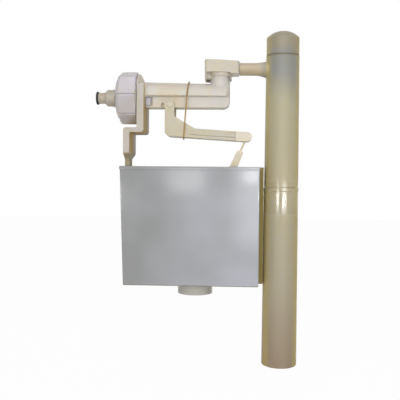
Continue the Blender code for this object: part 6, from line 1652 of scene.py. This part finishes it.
# %% Rubber band
band_low, band_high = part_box("rubber_band")
BAND_RADIUS = 0.7 * MM
BAND_TOP_X, BAND_FOOT_X, BAND_BACK_SHIFT = 74.5 * MM, 70.1 * MM, 2.2 * MM
BAND_LEAN, BAND_FOOT_FOLLOWS = 1.3, 3 * MM
BAND_ARC_STEPS, BAND_CORNER_STEPS = 24, 4


def band_loop():
    """The path: half a circle over the body, down both sides, and round the lever's lower edges."""
    share = (BAND_TOP_X - HEAD_END) / (BODY_END - HEAD_END)
    tube_z = TUBE_START_Z + (TUBE_END_Z - TUBE_START_Z) * share
    around = band_high.z - BAND_RADIUS - tube_z
    foot_z = band_low.z + BAND_RADIUS
    foot_half = lever_width(BAND_FOOT_X) + BAND_RADIUS + 2 * GAP
    turn = 2 * BAND_RADIUS
    loop = []
    for step in range(BAND_ARC_STEPS + 1):
        angle = math.pi * step / BAND_ARC_STEPS
        loop.append((around * math.cos(angle), tube_z + around * math.sin(angle)))
    for middle, start in ((turn - foot_half, math.pi), (foot_half - turn, math.pi * 1.5)):
        for step in range(BAND_CORNER_STEPS + 1):
            angle = start + math.pi / 2 * step / BAND_CORNER_STEPS
            loop.append((middle + turn * math.cos(angle), foot_z + turn + turn * math.sin(angle)))
    points = []
    top = tube_z + around
    for y, z in loop:
        down = min(1.0, BAND_LEAN * (top - z) / (top - foot_z))
        behind = max(0.0, y) / around
        x = BAND_TOP_X + (BAND_FOOT_X - BAND_TOP_X) * down - BAND_BACK_SHIFT * behind
        points.append((x, y, z))
    return points


def rubber_loop():
    curve = bpy.data.curves.new("band_path", "CURVE")
    curve.dimensions = "3D"
    curve.bevel_depth = BAND_RADIUS
    curve.bevel_resolution = 4
    spline = curve.splines.new("POLY")
    points = band_loop()
    spline.points.add(len(points) - 1)
    for point, place in zip(spline.points, points):
        point.co = (*place, 1)
    spline.use_cyclic_u = True
    path = bpy.data.objects.new("band_path", curve)
    scene_objects.link(path)
    mesh = evaluated_mesh(path)
    bpy.data.objects.remove(path, do_unlink=True)
    band = bpy.data.objects.new("band_loop", mesh)
    scene_objects.link(band)
    return band


band = rubber_loop()
band.data.shade_smooth()
band.data.materials.clear()
band.data.materials.append(band_rubber)
band_end = (BAND_FOOT_X, 0, band_low.z + BAND_FOOT_FOLLOWS)
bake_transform(band)
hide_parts("rubber_band")
print("band_loop:", len(band.data.polygons), "faces")

# %% [markdown]
# The float, the drain and what is inside the body keep the shape of their solids, because they are
# seen only from above or not at all. They get their finish. Those that show also get two live
# modifiers that leave the solid's own mesh alone: a weld that joins its loose triangles, and a
# bevel on its edges, whose width stands beside the finish here.

# %% Pieces that keep their solids
KEPT = {
    "float_plate": (nut_acetal, 0.25 * MM), "float_bell": (bell_white, 0.30 * MM),
    "drain_cage": (nut_acetal, 0.20 * MM), "drain_disc": (acetal, 0.20 * MM),
    "inlet_strainer": (nut_acetal, 0.0), "diaphragm": (black_rubber, 0.0),
    "riser_seal": (black_rubber, 0.0), "standpipe_sleeve": (milky, 0.0),
}
for name, (finish, edge) in KEPT.items():
    kept = nodes[name]
    kept.data.materials.clear()
    kept.data.materials.append(finish)
    if edge:
        weld = kept.modifiers.new("weld", "WELD")
        weld.merge_threshold = SAME_PLACE
        bevel = kept.modifiers.new("edges", "BEVEL")
        bevel.width = edge
        bevel.segments = 2
        bevel.limit_method = "ANGLE"
        bevel.angle_limit = CORNER_ANGLE
    print(name, "keeps its solid in", finish.name)

# %% [markdown]
# The stage is a plain pale floor well under the hanging valve. The world is white for the camera
# and for reflections, and a softer, warmer grey for the light it gives, so that the plastics render
# at about the colour they are written in. Three big panels light the valve from in front, from
# above and from the right. Two small ones stand for windows, whose reflections show on the cup and
# on the pipe, and two long strips low at the sides draw the bright lines on the polished pipe.

# %% Stage and light
FLOOR_DROP = 60 * MM
FLOOR_HALF = 3.0
WORLD_LIGHT = 0.31
WORLD_TINT = (1.0, 0.92, 0.74, 1.0)
FLOOR_GLOW, FLOOR_ROUGHNESS = 0.975, 0.9
FLOOR_SHADES = [(0.3, (0.93, 0.93, 0.92, 1)), (0.7, (0.96, 0.96, 0.95, 1))]
WHITE = (1, 1, 1, 1)


def seen_or_mirrored(tree):
    """One for rays from the camera and for the rays that mirrors send on, nought for the rest."""
    rays = tree.nodes.new("ShaderNodeLightPath")
    last = rays.outputs["Is Camera Ray"]
    for kind in ("Is Glossy Ray", "Is Transmission Ray"):
        either = tree.nodes.new("ShaderNodeMath")
        either.operation = "MAXIMUM"
        tree.links.new(last, either.inputs[0])
        tree.links.new(rays.outputs[kind], either.inputs[1])
        last = either.outputs["Value"]
    return last


def pale_floor():
    bm = bmesh.new()
    bmesh.ops.create_grid(bm, x_segments=1, y_segments=1, size=FLOOR_HALF)
    bmesh.ops.translate(bm, verts=bm.verts, vec=(0, 0, tube_low.z - FLOOR_DROP))
    floor = make_object("floor", bm)
    paint, tree, shader, place = blank_finish("pale_floor")
    shade = ramp_on(tree, noise_on(tree, place, 8), FLOOR_SHADES)
    tree.links.new(shade, shader.inputs["Base Color"])
    shader.inputs["Roughness"].default_value = FLOOR_ROUGHNESS
    glow = tree.nodes.new("ShaderNodeEmission")
    glow.inputs["Color"].default_value = WHITE
    seen = tree.nodes.new("ShaderNodeMath")
    seen.operation = "MULTIPLY"
    seen.inputs[1].default_value = FLOOR_GLOW
    mix = tree.nodes.new("ShaderNodeMixShader")
    tree.links.new(seen_or_mirrored(tree), seen.inputs[0])
    tree.links.new(seen.outputs["Value"], mix.inputs["Fac"])
    tree.links.new(shader.outputs["BSDF"], mix.inputs[1])
    tree.links.new(glow.outputs["Emission"], mix.inputs[2])
    tree.links.new(mix.outputs["Shader"], tree.nodes["Material Output"].inputs["Surface"])
    floor.data.materials.append(paint)


def white_world():
    world = bpy.data.worlds.new("studio")
    bpy.context.scene.world = world
    world.use_nodes = True
    tree = world.node_tree
    background = tree.nodes["Background"]
    seen = seen_or_mirrored(tree)
    strength = tree.nodes.new("ShaderNodeMapRange")
    strength.inputs["To Min"].default_value = WORLD_LIGHT
    strength.inputs["To Max"].default_value = 1.0
    tree.links.new(seen, strength.inputs["Value"])
    tree.links.new(strength.outputs["Result"], background.inputs["Strength"])
    colour = ramp_on(tree, seen, [(0.0, WORLD_TINT), (1.0, WHITE)])
    tree.links.new(colour, background.inputs["Color"])


def soft_box(name, place, target, size, power):
    lamp = bpy.data.lights.new(name, "AREA")
    lamp.shape = "RECTANGLE"
    lamp.size, lamp.size_y = size
    lamp.energy = power
    holder = bpy.data.objects.new(name, lamp)
    scene_objects.link(holder)
    holder.location = place
    holder.rotation_euler = (Vector(target) - Vector(place)).to_track_quat("-Z", "Y").to_euler()


pale_floor()
white_world()
middle = (Vector(solid_box[0]) + Vector(solid_box[1])) / 2
# Each row gives a lamp's name, its place, the point it faces, its width and height, and its watts.
LAMPS = [
    ("key", (0.00, -1.25, 0.50), middle, (0.7, 0.7), 4.9),
    ("top_panel", (0.08, -0.60, 0.90), middle, (0.6, 0.6), 2.2),
    ("right_panel", (0.34, -1.50, -0.06), (0.10, 0, -0.08), (0.40, 0.60), 1.8),
    ("window", (-0.025, -1.50, -0.084), (0.075, 0, -0.084), (0.13, 0.09), 0.18),
    ("small_window", (0.205, -1.50, -0.070), (0.137, 0, -0.076), (0.05, 0.04), 0.10),
    ("right_strip", (0.675, -1.50, -0.150), (0.167, 0, -0.100), (0.80, 0.06), 4.8),
    ("left_strip", (-0.535, -1.50, -0.150), (0.167, 0, -0.100), (0.5, 0.06), 3.0),
]
for lamp in LAMPS:
    soft_box(*lamp)
print(len(LAMPS), "lamps over a pale floor")

# %% [markdown]
# The plain view transform shows a colour as it is written. The last line prints the size of the
# bare solids, as it was taken at the start.

# %% Colour management
bpy.context.scene.view_settings.view_transform = "Standard"
print("solid box", solid_box)
